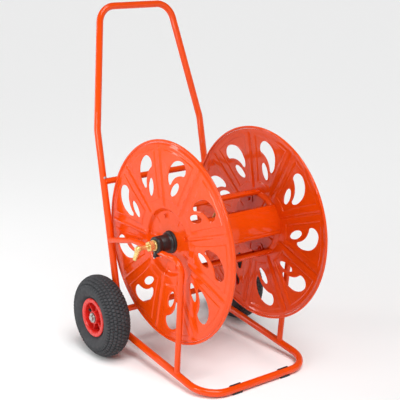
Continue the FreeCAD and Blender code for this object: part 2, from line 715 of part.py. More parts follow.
def make_rim():
    """The red rim, left wheel: barrel with rolled flanges, a web with windows and fins, and the hub tube."""
    x = -WHEEL_X
    barrel = ring_of([
        (x - RIM_HALF_WIDTH, RIM_R), (x - 31, RIM_R + 1), (x - 26.2, RIM_R - 3), (x - 26.2, SEAT_R),
        (x + 26.2, SEAT_R), (x + 26.2, RIM_R - 3), (x + 31, RIM_R + 1), (x + RIM_HALF_WIDTH, RIM_R),
        (x + RIM_HALF_WIDTH, RIM_R - 8), (x + 24, BARREL_R),
        (x - 20, BARREL_R), (x - RIM_HALF_WIDTH, RIM_R - 9),
    ], AXLE_Y, WHEEL_R)
    web = cylinder(x - 8, x - 1, BARREL_R + 2, AXLE_Y, WHEEL_R)
    fin = Part.makeBox(18, BARREL_R - 17, 4, vec(x - 22, AXLE_Y + 18, WHEEL_R - 2))
    pitch = 360.0 / SPOKES
    fins = []
    for k in range(SPOKES):
        angle = VALVE_ANGLE + pitch * k
        web = web.cut(arc_window(x - 20, x + 5, RIM_HUB_R + 5, BARREL_R - 4, angle, pitch / 2 - 11))
        fins.append(about_axle(fin, angle + pitch / 2))
    hub = cylinder(x - 31, x + 38, RIM_HUB_R, AXLE_Y, WHEEL_R)
    rim = barrel.fuse(web).fuse(fins).fuse(hub)
    bore = cylinder(x - 40, x + 45, AXLE_R + 3, AXLE_Y, WHEEL_R)
    outer_seat = cylinder(x + OUTER_BUSH[0], x + OUTER_BUSH[1], BUSH_R, AXLE_Y, WHEEL_R)
    inner_seat = cylinder(x + INNER_BUSH[0], x + INNER_BUSH[1] + 1, BUSH_R, AXLE_Y, WHEEL_R)
    inside = vec(VALVE_X, AXLE_Y + BARREL_R - 4, WHEEL_R)
    valve_hole = rod(inside, vec(VALVE_X, AXLE_Y + RIM_R - 1, WHEEL_R), 4.0)
    return rim.cut([bore, outer_seat, inner_seat, about_axle(valve_hole, VALVE_ANGLE)])


def arc_window(x0, x1, inner, outer, angle, half_angle):
    """A sector-shaped prism about the wheel's axle."""
    ring = sleeve(x0, x1, outer, inner, AXLE_Y, WHEEL_R)
    far = 3 * outer
    wedge = [vec(x0 - 1, AXLE_Y, WHEEL_R)]
    for step in (-1, 0, 1):
        turn = math.radians(angle + half_angle * step)
        wedge.append(vec(x0 - 1, AXLE_Y + far * math.cos(turn), WHEEL_R + far * math.sin(turn)))
    return ring.common(Part.Face(Part.makePolygon(wedge + wedge[:1])).extrude(vec(x1 - x0 + 2, 0, 0)))


def make_valve():
    """The valve stem with its cap, pointing to the axle through the rim's barrel."""
    tip, root = VALVE_SPAN
    shoulder = tip + VALVE_CAP_LENGTH
    cap = rod(vec(VALVE_X, AXLE_Y + tip, WHEEL_R), vec(VALVE_X, AXLE_Y + shoulder, WHEEL_R), 4.6)
    stem = rod(vec(VALVE_X, AXLE_Y + shoulder - 1, WHEEL_R), vec(VALVE_X, AXLE_Y + root, WHEEL_R), 3.6)
    return about_axle(cap.fuse(stem), VALVE_ANGLE)


def make_bearings():
    """The two bearing bushes pressed into the rim's hub."""
    spans = [(OUTER_BUSH[0] + 1, OUTER_BUSH[1]), INNER_BUSH]
    return Part.makeCompound([
        sleeve(start - WHEEL_X, end - WHEEL_X, BUSH_R, AXLE_R + RUNNING_GAP, AXLE_Y, WHEEL_R)
        for start, end in spans
    ])


def make_axle():
    """The axle rod, through both uprights, cross-drilled for its split pins."""
    axle = cylinder(-AXLE_END, AXLE_END, AXLE_R, AXLE_Y, WHEEL_R)
    for x in (-PIN_HOLE_X, PIN_HOLE_X):
        axle = axle.cut(rod(vec(x, AXLE_Y, WHEEL_R - 12), vec(x, AXLE_Y, WHEEL_R + 12), SPLIT_PIN_R + 0.1))
    return axle


def make_spacer():
    """The sleeve that keeps the left wheel off the upright."""
    start = INNER_BUSH[1] + 0.4 - WHEEL_X
    return sleeve(start, -FRAME_X - TUBE_R - 0.3, AXLE_R + 4, AXLE_R, AXLE_Y, WHEEL_R)


def make_washer():
    return sleeve(-WASHER_X - 2.2, -WASHER_X, 15.0, AXLE_R, AXLE_Y, WHEEL_R)


def make_split_pin():
    """A split pin: round eye above the axle, legs through it."""
    legs = rod(vec(-PIN_HOLE_X, AXLE_Y, WHEEL_R - 13), vec(-PIN_HOLE_X, AXLE_Y, WHEEL_R + 10), SPLIT_PIN_R)
    eye = Part.makeTorus(3.4, 1.2, vec(-PIN_HOLE_X, AXLE_Y, WHEEL_R + 12.5), ALONG_X)
    return legs.fuse(eye)


# ---- everything

def build():
    base_solid = base_rod(TUBE_R)
    handle_screws = make_handle_screws()
    nodes = {
        "base_frame": make_base_frame(base_solid, handle_screws),
        "handle_bar": make_handle(handle_screws),
        "handle_screws": handle_screws,
        "upper_crossbar": make_cross_tube(CROSSBAR_Z, CROSS_TUBE_R - TUBE_WALL, base_solid),
        "axle_sleeve": make_cross_tube(WHEEL_R, AXLE_R, base_solid),
        "axle_rod": make_axle(),
        "foot_left": make_foot(-FOOT_X),
        "foot_right": make_foot(FOOT_X),
        "reel_disc_left": drilled(make_disc(LEFT_PHASE), -1),
        "reel_disc_right": drilled(make_right_disc(), 1),
        "reel_shaft": make_shaft(),
        "outlet_branch": make_outlet(),
        "inlet_collar": make_collar(),
        "inlet_elbow": make_elbow(),
        "inlet_seal": make_seal(),
        "crank_arm": make_crank_arm(),
        "crank_bolt": make_crank_nut(),
        "crank_grip": make_grip(),
        "crank_grip_cap": make_grip_washer(),
    }
    for name, angle in zip(("front", "top", "rear", "bottom"), (0, 90, 180, 270)):
        nodes["drum_strip_" + name] = make_panel(PANEL_PHASE + angle)
    for name, side in (("left", -1), ("right", 1)):
        nodes["drum_bolts_" + name] = make_drum_bolts(side)
        nodes["reel_flange_" + name] = make_flange(side)
        nodes["flange_screws_" + name] = make_flange_screws(side)
    left_pieces = {
        "hub_support": make_support(base_solid),
        "hub_housing": make_hub_housing(),
        "hub_clamp": make_hub_clamp(),
        "hub_clamp_screws": make_clamp_screws(),
        "tyre": make_tyre(),
        "inner_tube": make_inner_tube(),
        "wheel_rim": make_rim(),
        "valve": make_valve(),
        "wheel_bearings": make_bearings(),
        "wheel_spacer": make_spacer(),
        "wheel_washer": make_washer(),
        "split_pin": make_split_pin(),
    }
    for name, shape in left_pieces.items():
        nodes[name + "_left"] = shape
        nodes[name + "_right"] = mirrored(shape)
    return nodes


os.makedirs("parts", exist_ok=True)
for node, shape in build().items():
    shape.exportStep("parts/" + node + ".step")
    print(node, "valid" if shape.isValid() else "NOT VALID", len(shape.Solids), round(shape.Volume))
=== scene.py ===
import json
import math
import random

import bmesh
import bpy
from mathutils import Matrix, Vector
from mathutils.geometry import delaunay_2d_cdt


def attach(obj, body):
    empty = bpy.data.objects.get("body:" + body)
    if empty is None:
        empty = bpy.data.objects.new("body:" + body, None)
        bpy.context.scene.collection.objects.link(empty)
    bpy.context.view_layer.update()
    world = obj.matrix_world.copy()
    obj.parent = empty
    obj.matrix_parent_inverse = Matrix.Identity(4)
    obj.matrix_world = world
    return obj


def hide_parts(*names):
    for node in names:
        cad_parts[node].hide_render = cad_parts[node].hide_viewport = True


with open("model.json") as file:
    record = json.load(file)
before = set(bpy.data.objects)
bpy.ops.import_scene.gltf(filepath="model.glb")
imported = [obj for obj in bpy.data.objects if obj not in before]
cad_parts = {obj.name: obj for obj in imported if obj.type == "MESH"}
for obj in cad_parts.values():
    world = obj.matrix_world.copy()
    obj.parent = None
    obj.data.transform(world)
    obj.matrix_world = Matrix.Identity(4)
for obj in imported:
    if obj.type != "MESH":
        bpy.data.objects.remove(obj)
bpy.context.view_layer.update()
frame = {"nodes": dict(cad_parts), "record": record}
record = frame["record"]
nodes = frame["nodes"]

MM = 0.001


# ---------------------------------------------------------------- places read from the frame

def joint_place(name):
    """The point of a joint, from the record."""
    return Vector(next(j["pos_m"] for j in record["behaviour"]["joints"] if j["name"] == name))


REEL = joint_place("reel_spin")
AXLE = joint_place("wheel_left_spin")


# ---------------------------------------------------------------- material tools

class Shader:
    """A node-based material, built with a few short calls."""

    def __init__(self, name):
        self.material = bpy.data.materials.new(name)
        self.material.use_nodes = True
        self.nodes = self.material.node_tree.nodes
        self.links = self.material.node_tree.links
        self.bsdf = self.nodes["Principled BSDF"]
        self.place = self.nodes.new("ShaderNodeTexCoord").outputs["Object"]

    def set(self, **values):
        for name, value in values.items():
            self.bsdf.inputs[name.replace("_", " ")].default_value = value
        return self

    def link(self, output, node, name):
        self.links.new(output, node.inputs[name])

    def noise(self, scale, detail=3.0):
        node = self.nodes.new("ShaderNodeTexNoise")
        node.inputs["Scale"].default_value = scale
        node.inputs["Detail"].default_value = detail
        self.link(self.place, node, "Vector")
        return node.outputs["Fac"]

    def ramp(self, value, stops):
        """A colour ramp: stops are (position, colour) pairs."""
        node = self.nodes.new("ShaderNodeValToRGB")
        ramp = node.color_ramp
        while len(ramp.elements) < len(stops):
            ramp.elements.new(0.5)
        for element, (position, colour) in zip(ramp.elements, stops):
            element.position = position
            element.color = (*colour, 1.0)
        self.link(value, node, "Fac")
        return node.outputs["Color"]

    def spread(self, value, low, high):
        """The value stretched to low..high."""
        node = self.nodes.new("ShaderNodeMapRange")
        node.inputs["From Min"].default_value = 0.3
        node.inputs["From Max"].default_value = 0.7
        node.inputs["To Min"].default_value = low
        node.inputs["To Max"].default_value = high
        self.link(value, node, "Value")
        return node.outputs["Result"]

    def bump(self, height, strength, distance):
        node = self.nodes.new("ShaderNodeBump")
        node.inputs["Strength"].default_value = strength
        node.inputs["Distance"].default_value = distance
        self.link(height, node, "Height")
        return node.outputs["Normal"]


def powder_coat():
    """Glossy orange-red powder coat: slow colour drift, orange peel, and scuffed patches that shine less."""
    s = Shader("orange_powder_coat")
    tone = s.ramp(s.noise(9.0), [(0.3, (0.75, 0.058, 0.001)), (0.7, (0.80, 0.068, 0.0015))])
    s.link(tone, s.bsdf, "Base Color")
    scuffs = s.ramp(s.noise(38.0, 6.0), [(0.50, (0.27, 0.27, 0.27)), (0.72, (0.46, 0.46, 0.46))])
    s.link(scuffs, s.bsdf, "Roughness")
    s.link(s.bump(s.noise(420.0, 2.0), 0.10, 0.0001), s.bsdf, "Normal")
    return s.set(Specular_IOR_Level=0.05, Coat_Weight=0.6, Coat_Roughness=0.07).material


def rubber(name, colour):
    """Dull rubber, with lighter dusty patches and a fine grain."""
    s = Shader(name)
    lighter = tuple(c * 1.5 for c in colour)
    s.link(s.ramp(s.noise(25.0, 6.0), [(0.3, colour), (0.75, lighter)]), s.bsdf, "Base Color")
    s.link(s.spread(s.noise(90.0, 4.0), 0.6, 0.85), s.bsdf, "Roughness")
    s.link(s.bump(s.noise(1200.0, 2.0), 0.25, 0.0002), s.bsdf, "Normal")
    return s.material


def plastic(name, colour, roughness):
    """Moulded plastic with a slightly mottled colour and a fine grain."""
    s = Shader(name)
    darker = tuple(c * 0.85 for c in colour)
    s.link(s.ramp(s.noise(14.0), [(0.3, darker), (0.7, colour)]), s.bsdf, "Base Color")
    s.link(s.spread(s.noise(70.0), roughness - 0.05, roughness + 0.05), s.bsdf, "Roughness")
    s.link(s.bump(s.noise(1500.0, 2.0), 0.12, 0.0001), s.bsdf, "Normal")
    return s.material


def metal(name, colour, roughness, metallic=1.0):
    """Metal with uneven tarnish and fine tool marks."""
    s = Shader(name)
    darker = tuple(c * 0.8 for c in colour)
    s.link(s.ramp(s.noise(60.0), [(0.3, darker), (0.7, colour)]), s.bsdf, "Base Color")
    s.link(s.spread(s.noise(240.0), roughness - 0.07, roughness + 0.07), s.bsdf, "Roughness")
    s.link(s.bump(s.noise(700.0, 2.0), 0.1, 0.0001), s.bsdf, "Normal")
    return s.set(Metallic=metallic).material


MATERIALS = {
    "orange_paint": powder_coat(),
    "tyre_rubber": rubber("tyre_rubber_mat", (0.026, 0.027, 0.030)),
    "black_rubber": rubber("black_rubber_mat", (0.012, 0.012, 0.012)),
    "valve_rubber": rubber("valve_rubber_mat", (0.012, 0.012, 0.012)),
    "rim_plastic": plastic("rim_plastic_mat", (0.72, 0.020, 0.014), 0.28),
    "bush_plastic": plastic("bush_plastic_mat", (0.03, 0.03, 0.03), 0.5),
    "hub_plastic": plastic("hub_plastic_mat", (0.012, 0.012, 0.013), 0.42),
    "grip_plastic": plastic("grip_plastic_mat", (0.012, 0.012, 0.013), 0.45),
    "brass": metal("brass_mat", (0.88, 0.64, 0.25), 0.3, 0.72),
    "zinc_steel": metal("zinc_steel_mat", (0.52, 0.52, 0.50), 0.3),
    "black_screws": metal("black_screws_mat", (0.03, 0.03, 0.032), 0.35),
}


def finish_cad_nodes():
    """Every CAD node gets the procedural material of its slot."""
    for part in record["subparts"]:
        mesh = nodes[part["node"]].data
        mesh.materials.clear()
        mesh.materials.append(MATERIALS[part["material_slot"]])


finish_cad_nodes()


# ---------------------------------------------------------------- mesh tools

def smooth_step(t):
    t = min(max(t, 0.0), 1.0)
    return t * t * (3 - 2 * t)


def new_piece(name, mesh, body, slot, replaced=(), sharp=35.0):
    """Links a finished mesh, smooth except at edges sharper than an angle, and hands it to its body."""
    piece = bpy.data.objects.new(name, mesh)
    bpy.context.scene.collection.objects.link(piece)
    mesh.materials.append(MATERIALS[slot])
    mesh.shade_smooth()
    mesh.set_sharp_from_angle(angle=math.radians(sharp))
    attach(piece, body)
    if replaced:
        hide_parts(*replaced)
    return piece


def mesh_from(name, verts, faces):
    """A mesh in metres from points in millimetres."""
    mesh = bpy.data.meshes.new(name)
    mesh.from_pydata([Vector(v) * MM for v in verts], [], faces)
    work = bmesh.new()
    work.from_mesh(mesh)
    bmesh.ops.remove_doubles(work, verts=work.verts, dist=0.00001)
    bmesh.ops.recalc_face_normals(work, faces=work.faces)
    work.to_mesh(mesh)
    work.free()
    return mesh


def grid_faces(rings, per_ring, ring_loop=True, point_loop=True):
    """Four-sided faces between rings of points; a loop joins the last to the first."""
    faces = []
    for k in range(rings if ring_loop else rings - 1):
        after = (k + 1) % rings
        for j in range(per_ring if point_loop else per_ring - 1):
            up = (j + 1) % per_ring
            faces.append((k * per_ring + j, after * per_ring + j, after * per_ring + up, k * per_ring + up))
    return faces


def circle_arc(start, middle, end, step):
    """Points from start to just before end on the circle through three points."""
    ax, ay = start
    bx, by = middle
    cx, cy = end
    d = 2 * (ax * (by - cy) + bx * (cy - ay) + cx * (ay - by))
    aa, bb, cc = ax * ax + ay * ay, bx * bx + by * by, cx * cx + cy * cy
    ux = (aa * (by - cy) + bb * (cy - ay) + cc * (ay - by)) / d
    uy = (aa * (cx - bx) + bb * (ax - cx) + cc * (bx - ax)) / d
    radius = math.hypot(ax - ux, ay - uy)
    first = math.atan2(ay - uy, ax - ux)
    through = (math.atan2(by - uy, bx - ux) - first) % (2 * math.pi)
    sweep = (math.atan2(cy - uy, cx - ux) - first) % (2 * math.pi)
    if through > sweep:
        sweep -= 2 * math.pi
    count = max(2, round(abs(sweep) * radius / step))
    return [
        (ux + radius * math.cos(first + sweep * k / count), uy + radius * math.sin(first + sweep * k / count))
        for k in range(count)
    ]


def closed_outline(arcs, step, rounding=2):
    """A closed chain of three-point arcs as evenly spaced points, its corners softened."""
    points = [p for arc in arcs for p in circle_arc(*arc, step)]
    for _ in range(rounding):
        points = [
            tuple(0.25 * before[i] + 0.5 * here[i] + 0.25 * after[i] for i in (0, 1))
            for before, here, after in zip(points[-1:] + points[:-1], points, points[1:] + points[:1])
        ]
    return points


def grown(outline, distance):
    """The outline moved outwards by a distance."""
    area = sum(a[0] * b[1] - b[0] * a[1] for a, b in zip(outline, outline[1:] + outline[:1]))
    way = 1 if area > 0 else -1
    moved = []
    for before, here, after in zip(outline[-1:] + outline[:-1], outline, outline[1:] + outline[:1]):
        dx, dy = after[0] - before[0], after[1] - before[1]
        length = math.hypot(dx, dy)
        moved.append((here[0] + way * distance * dy / length, here[1] - way * distance * dx / length))
    return moved


def inside(outline, x, y):
    hit = False
    for (ax, ay), (bx, by) in zip(outline, outline[1:] + outline[:1]):
        if (ay > y) != (by > y) and x < (bx - ax) * (y - ay) / (by - ay) + ax:
            hit = not hit
    return hit


# ---------------------------------------------------------------- the pressed discs

DISC_FACE = 176.0
SHEET = 1.5
SECTORS = 9
HALF_SECTOR = math.pi / SECTORS
SHEET_INNER_R = 12.0
SHEET_OUTER_R = 298.0
BEAD_RING_R = 302.5
BEAD_R = 4.0
BEAD_SET_BACK = 3.5
RECESS = 12.0
RECESS_FLOOR_R = 92.0
RECESS_MOUTH_R = 104.0
RIB_HALF = 7.5
RIB_RISE = 3.3
RIB_ENDS = (104.0, 291.0)
PANEL_RISE = 2.2
PANEL_STEP = 4.0
PANEL_OUTER_R = 277.0
PANEL_INNER_R = 131.0
PANEL_OUTER_HALF = math.radians(14.75)
PANEL_INNER_HALF = math.radians(11.3)
HOLE_LIP = 0.9
EDGE_DROP = 3.0
EDGE_DROP_R = 289.0
RIB_RUN_OUT = 9.0
CREASE_RISE = 1.6
CREASE_HALF = 4.5
CREASE_ENDS = (62.0, 100.0)
LEFT_DISC_PHASE = -1.0

# hole outlines in the disc's plane: (across, outwards from the axis), three points an arc
COMMA = [
    ((-36, 226), (-42, 246), (-21, 266)),
    ((-21, 266), (22, 245), (34, 210)),
    ((34, 210), (34.5, 196), (30, 183)),
    ((30, 183), (22, 177), (16, 184)),
    ((16, 184), (-2, 211), (-36, 226)),
]
LEAF = [
    ((-21, 190), (-15, 197), (-8, 195)),
    ((-8, 195), (9, 175), (14, 155)),
    ((14, 155), (9, 147), (2, 149)),
    ((2, 149), (-15, 168), (-21, 190)),
]


def panel_half_angle(radius):
    """Half the angle that the raised panel takes at a radius."""
    share = (radius - PANEL_INNER_R) / (PANEL_OUTER_R - PANEL_INNER_R)
    return PANEL_INNER_HALF + share * (PANEL_OUTER_HALF - PANEL_INNER_HALF)


def press_height(radius, angle):
    """How far the sheet stands out from the disc's face plane; angle is from the sector's middle."""
    height = -RECESS * (1 - smooth_step((radius - RECESS_FLOOR_R) / (RECESS_MOUTH_R - RECESS_FLOOR_R)))
    height -= EDGE_DROP * smooth_step((radius - EDGE_DROP_R) / RIB_RUN_OUT)
    from_rib = radius * math.sin(HALF_SECTOR - abs(angle))
    along_rib = smooth_step((radius - RIB_ENDS[0]) / RIB_RUN_OUT)
    along_rib *= smooth_step((RIB_ENDS[1] - radius) / RIB_RUN_OUT)
    height += RIB_RISE * along_rib * smooth_step(1 - from_rib / RIB_HALF)
    crease = smooth_step((radius - CREASE_ENDS[0]) / 12) * smooth_step((CREASE_ENDS[1] - radius) / 8)
    height += CREASE_RISE * crease * smooth_step(1 - from_rib / CREASE_HALF)
    to_side = radius * math.sin(panel_half_angle(radius) - abs(angle))
    depth = min(to_side, PANEL_OUTER_R - radius, radius - PANEL_INNER_R)
    height += PANEL_RISE * smooth_step(depth / PANEL_STEP + 0.5)
    return height


def sector_rows():
    """Radii of the sector's rows of points, close together where the sheet bends."""
    rows = [SHEET_INNER_R + 8.0 * k for k in range(6)]
    bands = [(60, 88, 4.5), (90, 106, 2.0), (108, 127, 4.2), (128.5, 134, 1.3)]
    bands += [(137, 272, 4.6), (274, 281, 1.3), (283, 298.01, 1.5)]
    for low, high, step in bands:
        value = low
        while value <= high:
            rows.append(value)
            value += step
    rows[-1] = SHEET_OUTER_R
    return rows


def row_angles(radius):
    """Angles of the points in one row, close together at the ribs and at the panel's sides."""
    angles = set()
    for k in range(8):
        angles.add(HALF_SECTOR - k * RIB_HALF / 7 / radius)
    side = panel_half_angle(radius)
    if radius > 120:
        for k in (-2.5, -1.5, -0.5, 0.5, 1.5, 2.5):
            angles.add(side + k * PANEL_STEP / 4 / radius)
    flat = side - 1.5 * PANEL_STEP / radius if radius > 120 else HALF_SECTOR - 1.3 * RIB_HALF / radius
    flat = max(flat, 0.03)
    count = max(1, round(flat * radius / 4.6))
    for k in range(count + 1):
        angles.add(flat * k / count)
    angles = sorted(a for a in angles if 0 <= a <= HALF_SECTOR)
    kept = [angles[0]]
    for a in angles[1:]:
        if (a - kept[-1]) * radius > 0.8:
            kept.append(a)
    kept[-1] = HALF_SECTOR
    return sorted({-a for a in kept} | set(kept))


def sector_mesh():
    """One sector as flat points (across, outwards), heights and triangles."""
    holes = [closed_outline(arcs, 2.6) for arcs in (COMMA, LEAF)]
    guards = [grown(hole, 4.2) for hole in holes]
    points, heights, edges = [], [], []
    last_ends = None
    for radius in sector_rows():
        first = len(points)
        for angle in row_angles(radius):
            x, y = radius * math.sin(angle), radius * math.cos(angle)
            if not any(inside(guard, x, y) for guard in guards):
                points.append((x, y))
                heights.append(press_height(radius, angle))
        ends = (first, len(points) - 1)
        if last_ends:
            edges += list(zip(last_ends, ends))
        last_ends = ends
    for hole in holes:
        for distance, lip in ((0, HOLE_LIP), (1.1, HOLE_LIP * 0.5), (2.4, HOLE_LIP * 0.1)):
            first = len(points)
            ring = grown(hole, distance)
            for x, y in ring:
                points.append((x, y))
                heights.append(press_height(math.hypot(x, y), math.atan2(x, y)) - lip)
            edges += [(first + k, first + (k + 1) % len(ring)) for k in range(len(ring))]
    result = delaunay_2d_cdt([Vector(p) for p in points], edges, [], 0, 1e-5)
    flat = [tuple(c) for c in result[0]]
    rise = [heights[origin[0]] for origin in result[3]]
    kept = []
    for triangle in result[2]:
        x = sum(flat[i][0] for i in triangle) / 3
        y = sum(flat[i][1] for i in triangle) / 3
        (ax, ay), (bx, by), (cx, cy) = (flat[i] for i in triangle)
        wide_enough = abs((bx - ax) * (cy - ay) - (cx - ax) * (by - ay)) > 1e-3
        on_sheet = math.hypot(x, y) > SHEET_INNER_R * 0.99 and not any(inside(hole, x, y) for hole in holes)
        if wide_enough and on_sheet:
            kept.append(triangle)
    return flat, rise, kept


def pressed_disc():
    """The whole pressing as points (out, towards front, up) about its axis, and faces."""
    flat, rise, triangles = sector_mesh()
    verts, faces = [], []
    for k in range(SECTORS):
        turn = 2 * HALF_SECTOR * k
        for side in (SHEET / 2, -SHEET / 2):
            for (x, y), h in zip(flat, rise):
                front = y * math.cos(turn) - x * math.sin(turn)
                up = x * math.cos(turn) + y * math.sin(turn)
                verts.append((h + side, front, up))
    layer = len(flat)
    for k in range(SECTORS):
        for side in (0, 1):
            first = (2 * k + side) * layer
            for a, b, c in triangles:
                faces.append((first + a, first + b, first + c) if side else (first + a, first + c, first + b))
    count = {}
    for a, b, c in triangles:
        for edge in ((a, b), (b, c), (c, a)):
            key = tuple(sorted(edge))
            count[key] = count.get(key, 0) + 1
    for (a, b), times in count.items():
        on_side = all(abs(abs(math.atan2(*flat[i])) - HALF_SECTOR) < 1e-4 for i in (a, b))
        if times == 1 and not on_side:
            for k in range(SECTORS):
                first = 2 * k * layer
                faces.append((first + a, first + b, first + layer + b, first + layer + a))
    return verts, faces


def bead_ring(parts_round=288, parts_across=14):
    """The rolled edge, as a ring round the sheet's outer end."""
    verts = []
    for k in range(parts_round):
        turn = 2 * math.pi * k / parts_round
        for j in range(parts_across):
            roll = 2 * math.pi * j / parts_across
            radius = BEAD_RING_R + BEAD_R * math.cos(roll)
            out = BEAD_R * math.sin(roll) - BEAD_SET_BACK
            verts.append((out, radius * math.cos(turn), radius * math.sin(turn)))
    return verts, grid_faces(parts_round, parts_across)


def add_discs():
    sheet_verts, sheet_faces = pressed_disc()
    ring_verts, ring_faces = bead_ring()
    verts = sheet_verts + ring_verts
    faces = sheet_faces + [tuple(i + len(sheet_verts) for i in face) for face in ring_faces]
    axis = REEL / MM
    for name, way, phase in (("left", -1, LEFT_DISC_PHASE), ("right", 1, 0.0)):
        turn = math.radians(phase)
        placed = []
        for out, front, up in verts:
            if way > 0:
                up = -up
            y = front * math.cos(turn) - up * math.sin(turn)
            z = front * math.sin(turn) + up * math.cos(turn)
            placed.append((way * (DISC_FACE + out), axis.y - y, axis.z + z))
        mesh = mesh_from("disc_" + name, placed, faces)
        new_piece("pressed_disc_" + name, mesh, "reel", "orange_paint", ["reel_disc_" + name])


add_discs()


# ---------------------------------------------------------------- solids put together in code

ALONG_X = Vector((1, 0, 0))
UP = Vector((0, 0, 1))


def rounded(points, radius, steps=4, closed=True):
    """The (along, radius) outline with every corner turned into a small arc."""
    result = []
    last = len(points) - 1
    for k, here in enumerate(points):
        own = here[2] if len(here) > 2 else radius
        here = Vector(here[:2])
        if own == 0 or (not closed and k in (0, last)):
            result.append(tuple(here))
            continue
        arriving = here - Vector(points[k - 1][:2])
        leaving = Vector(points[(k + 1) % len(points)][:2]) - here
        room = 0.45 * min(arriving.length, leaving.length)
        arriving.normalize()
        leaving.normalize()
        turn = arriving.angle(leaving)
        if turn < 0.05:
            result.append(tuple(here))
            continue
        reach = min(own * math.tan(turn / 2), room)
        for step in range(steps + 1):
            t = step / steps
            first = here - arriving * reach
            third = here + leaving * reach
            result.append(tuple(first * (1 - t) ** 2 + here * 2 * t * (1 - t) + third * t * t))
    return result


def side_axes(axis):
    """Two unit directions square to an axis."""
    first = axis.cross(UP if abs(axis.z) < 0.9 else ALONG_X).normalized()
    return first, axis.cross(first).normalized()


def path_through(points, radii, step=0.12):
    """Straight runs joined by tangent arcs, as a list of points close together on the arcs."""
    points = [Vector(p) for p in points]
    path = [points[0]]
    for before, corner, after, radius in zip(points, points[1:], points[2:], radii):
        arriving = (corner - before).normalized()
        leaving = (after - corner).normalized()
        turn = arriving.angle(leaving)
        reach = radius * math.tan(turn / 2)
        centre = corner + (leaving - arriving).normalized() * radius / math.cos(turn / 2)
        start = corner - arriving * reach - centre
        axis = arriving.cross(leaving).normalized()
        count = max(4, math.ceil(turn / step))
        for k in range(count + 1):
            path.append(centre + Matrix.Rotation(turn * k / count, 3, axis) @ start)
    return path + [points[-1]]


class Solid:
    """Closed shapes gathered into one piece: points in millimetres, in the cart's frame."""

    def __init__(self):
        self.verts = []
        self.faces = []

    def add(self, verts, faces):
        first = len(self.verts)
        self.verts += [tuple(v) for v in verts]
        self.faces += [tuple(first + i for i in face) for face in faces]
        return self

    def turned(self, outline, origin, axis=ALONG_X, sides=64, closed=True, shape=None):
        """Turns an (along, radius) outline about an axis; an open outline starts and ends on the axis."""
        origin, axis = Vector(origin), Vector(axis).normalized()
        first, second = side_axes(axis)
        verts = []
        for k in range(sides):
            turn = 2 * math.pi * k / sides
            out = first * math.cos(turn) + second * math.sin(turn)
            for along, radius in outline:
                reach = radius if shape is None else min(radius, shape(turn))
                verts.append(origin + axis * along + out * reach)
        return self.add(verts, grid_faces(sides, len(outline), True, closed))

    def hexagon(self, start, length, flats, origin, axis=ALONG_X, bore=0.0):
        """A hexagonal nut or head whose corners are turned off, from start along the axis."""
        corner = flats / math.sqrt(3)
        chamfer = (corner - flats / 2) * 0.6

        def flat_side(turn):
            return flats / 2 / math.cos((turn + math.pi / 6) % (math.pi / 3) - math.pi / 6)

        outline = [(start, bore), (start, flats * 0.47), (start + chamfer, corner),
                   (start + length - chamfer, corner), (start + length, flats * 0.47), (start + length, bore)]
        return self.turned(outline, origin, axis, 72, bore > 0, flat_side)

    def swept(self, path, radius, sides=32, closed=False, radii=None):
        """A round bar along a list of points; closed makes a ring of it."""
        count = len(path)
        verts, faces = [], []
        direction = (path[1] - path[0]).normalized()
        normal = side_axes(direction)[0]
        for k, point in enumerate(path):
            before = path[k - 1] if k or closed else path[0]
            after = path[(k + 1) % count] if k < count - 1 or closed else path[-1]
            heading = (after - before).normalized()
            normal = (normal - heading * normal.dot(heading)).normalized()
            other = heading.cross(normal)
            reach = radii[k] if radii else radius
            for j in range(sides):
                turn = 2 * math.pi * j / sides
                verts.append(point + (normal * math.cos(turn) + other * math.sin(turn)) * reach)
        for k in range(count if closed else count - 1):
            after = (k + 1) % count
            shift = 0
            if after == 0:
                ends = [(Vector(verts[j]) - Vector(verts[k * sides])).length for j in range(sides)]
                shift = ends.index(min(ends))
            for j in range(sides):
                up = (j + 1) % sides
                faces.append((k * sides + j, k * sides + up, after * sides + (up + shift) % sides,
                              after * sides + (j + shift) % sides))
        if not closed:
            faces.append(tuple(range(sides))[::-1])
            faces.append(tuple((count - 1) * sides + j for j in range(sides)))
        return self.add(verts, faces)

    def rod(self, start, end, radius, round_end=0.8, sides=32):
        """A round bar with softened ends."""
        start, end = Vector(start), Vector(end)
        length = (end - start).length
        outline = rounded([(0, 0, 0), (0, radius), (length, radius), (length, 0, 0)], round_end, 4, False)
        return self.turned(outline, start, end - start, sides, False)

    def block(self, low, high, edge, turn=None, about=None):
        """A box with rounded edges, turned about a point if asked."""
        work = bmesh.new()
        bmesh.ops.create_cube(work, size=1)
        low, high = Vector(low), Vector(high)
        for vert in work.verts:
            vert.co = (low + high) / 2 + Vector(c * d for c, d in zip(vert.co, high - low))
        corners = work.edges[:] + work.verts[:]
        bmesh.ops.bevel(work, geom=corners, offset=edge, segments=3, affect="EDGES", profile=0.5)
        if turn is not None:
            bmesh.ops.rotate(work, verts=work.verts, cent=about, matrix=turn)
        work.verts.index_update()
        self.add([v.co for v in work.verts], [tuple(v.index for v in f.verts) for f in work.faces])
        work.free()
        return self

    def plate(self, outline, x0, x1, edge=0.6):
        """A flat plate square to X from (y, z) points, its rims softened."""
        inner = grown(outline, -edge)
        count = len(outline)
        verts = []
        for x, ring in ((x0, inner), (x0 + edge, outline), (x1 - edge, outline), (x1, inner)):
            verts += [(x, y, z) for y, z in ring]
        faces = grid_faces(4, count, False)
        faces.append(tuple(range(count)))
        faces.append(tuple(range(3 * count, 4 * count))[::-1])
        return self.add(verts, faces)

    def mirrored(self):
        twin = Solid()
        return twin.add([(-x, y, z) for x, y, z in self.verts], [face[::-1] for face in self.faces])

    def piece(self, name, body, slot, replaced=(), sharp=32.0):
        return new_piece(name, mesh_from(name, self.verts, self.faces), body, slot, list(replaced), sharp)


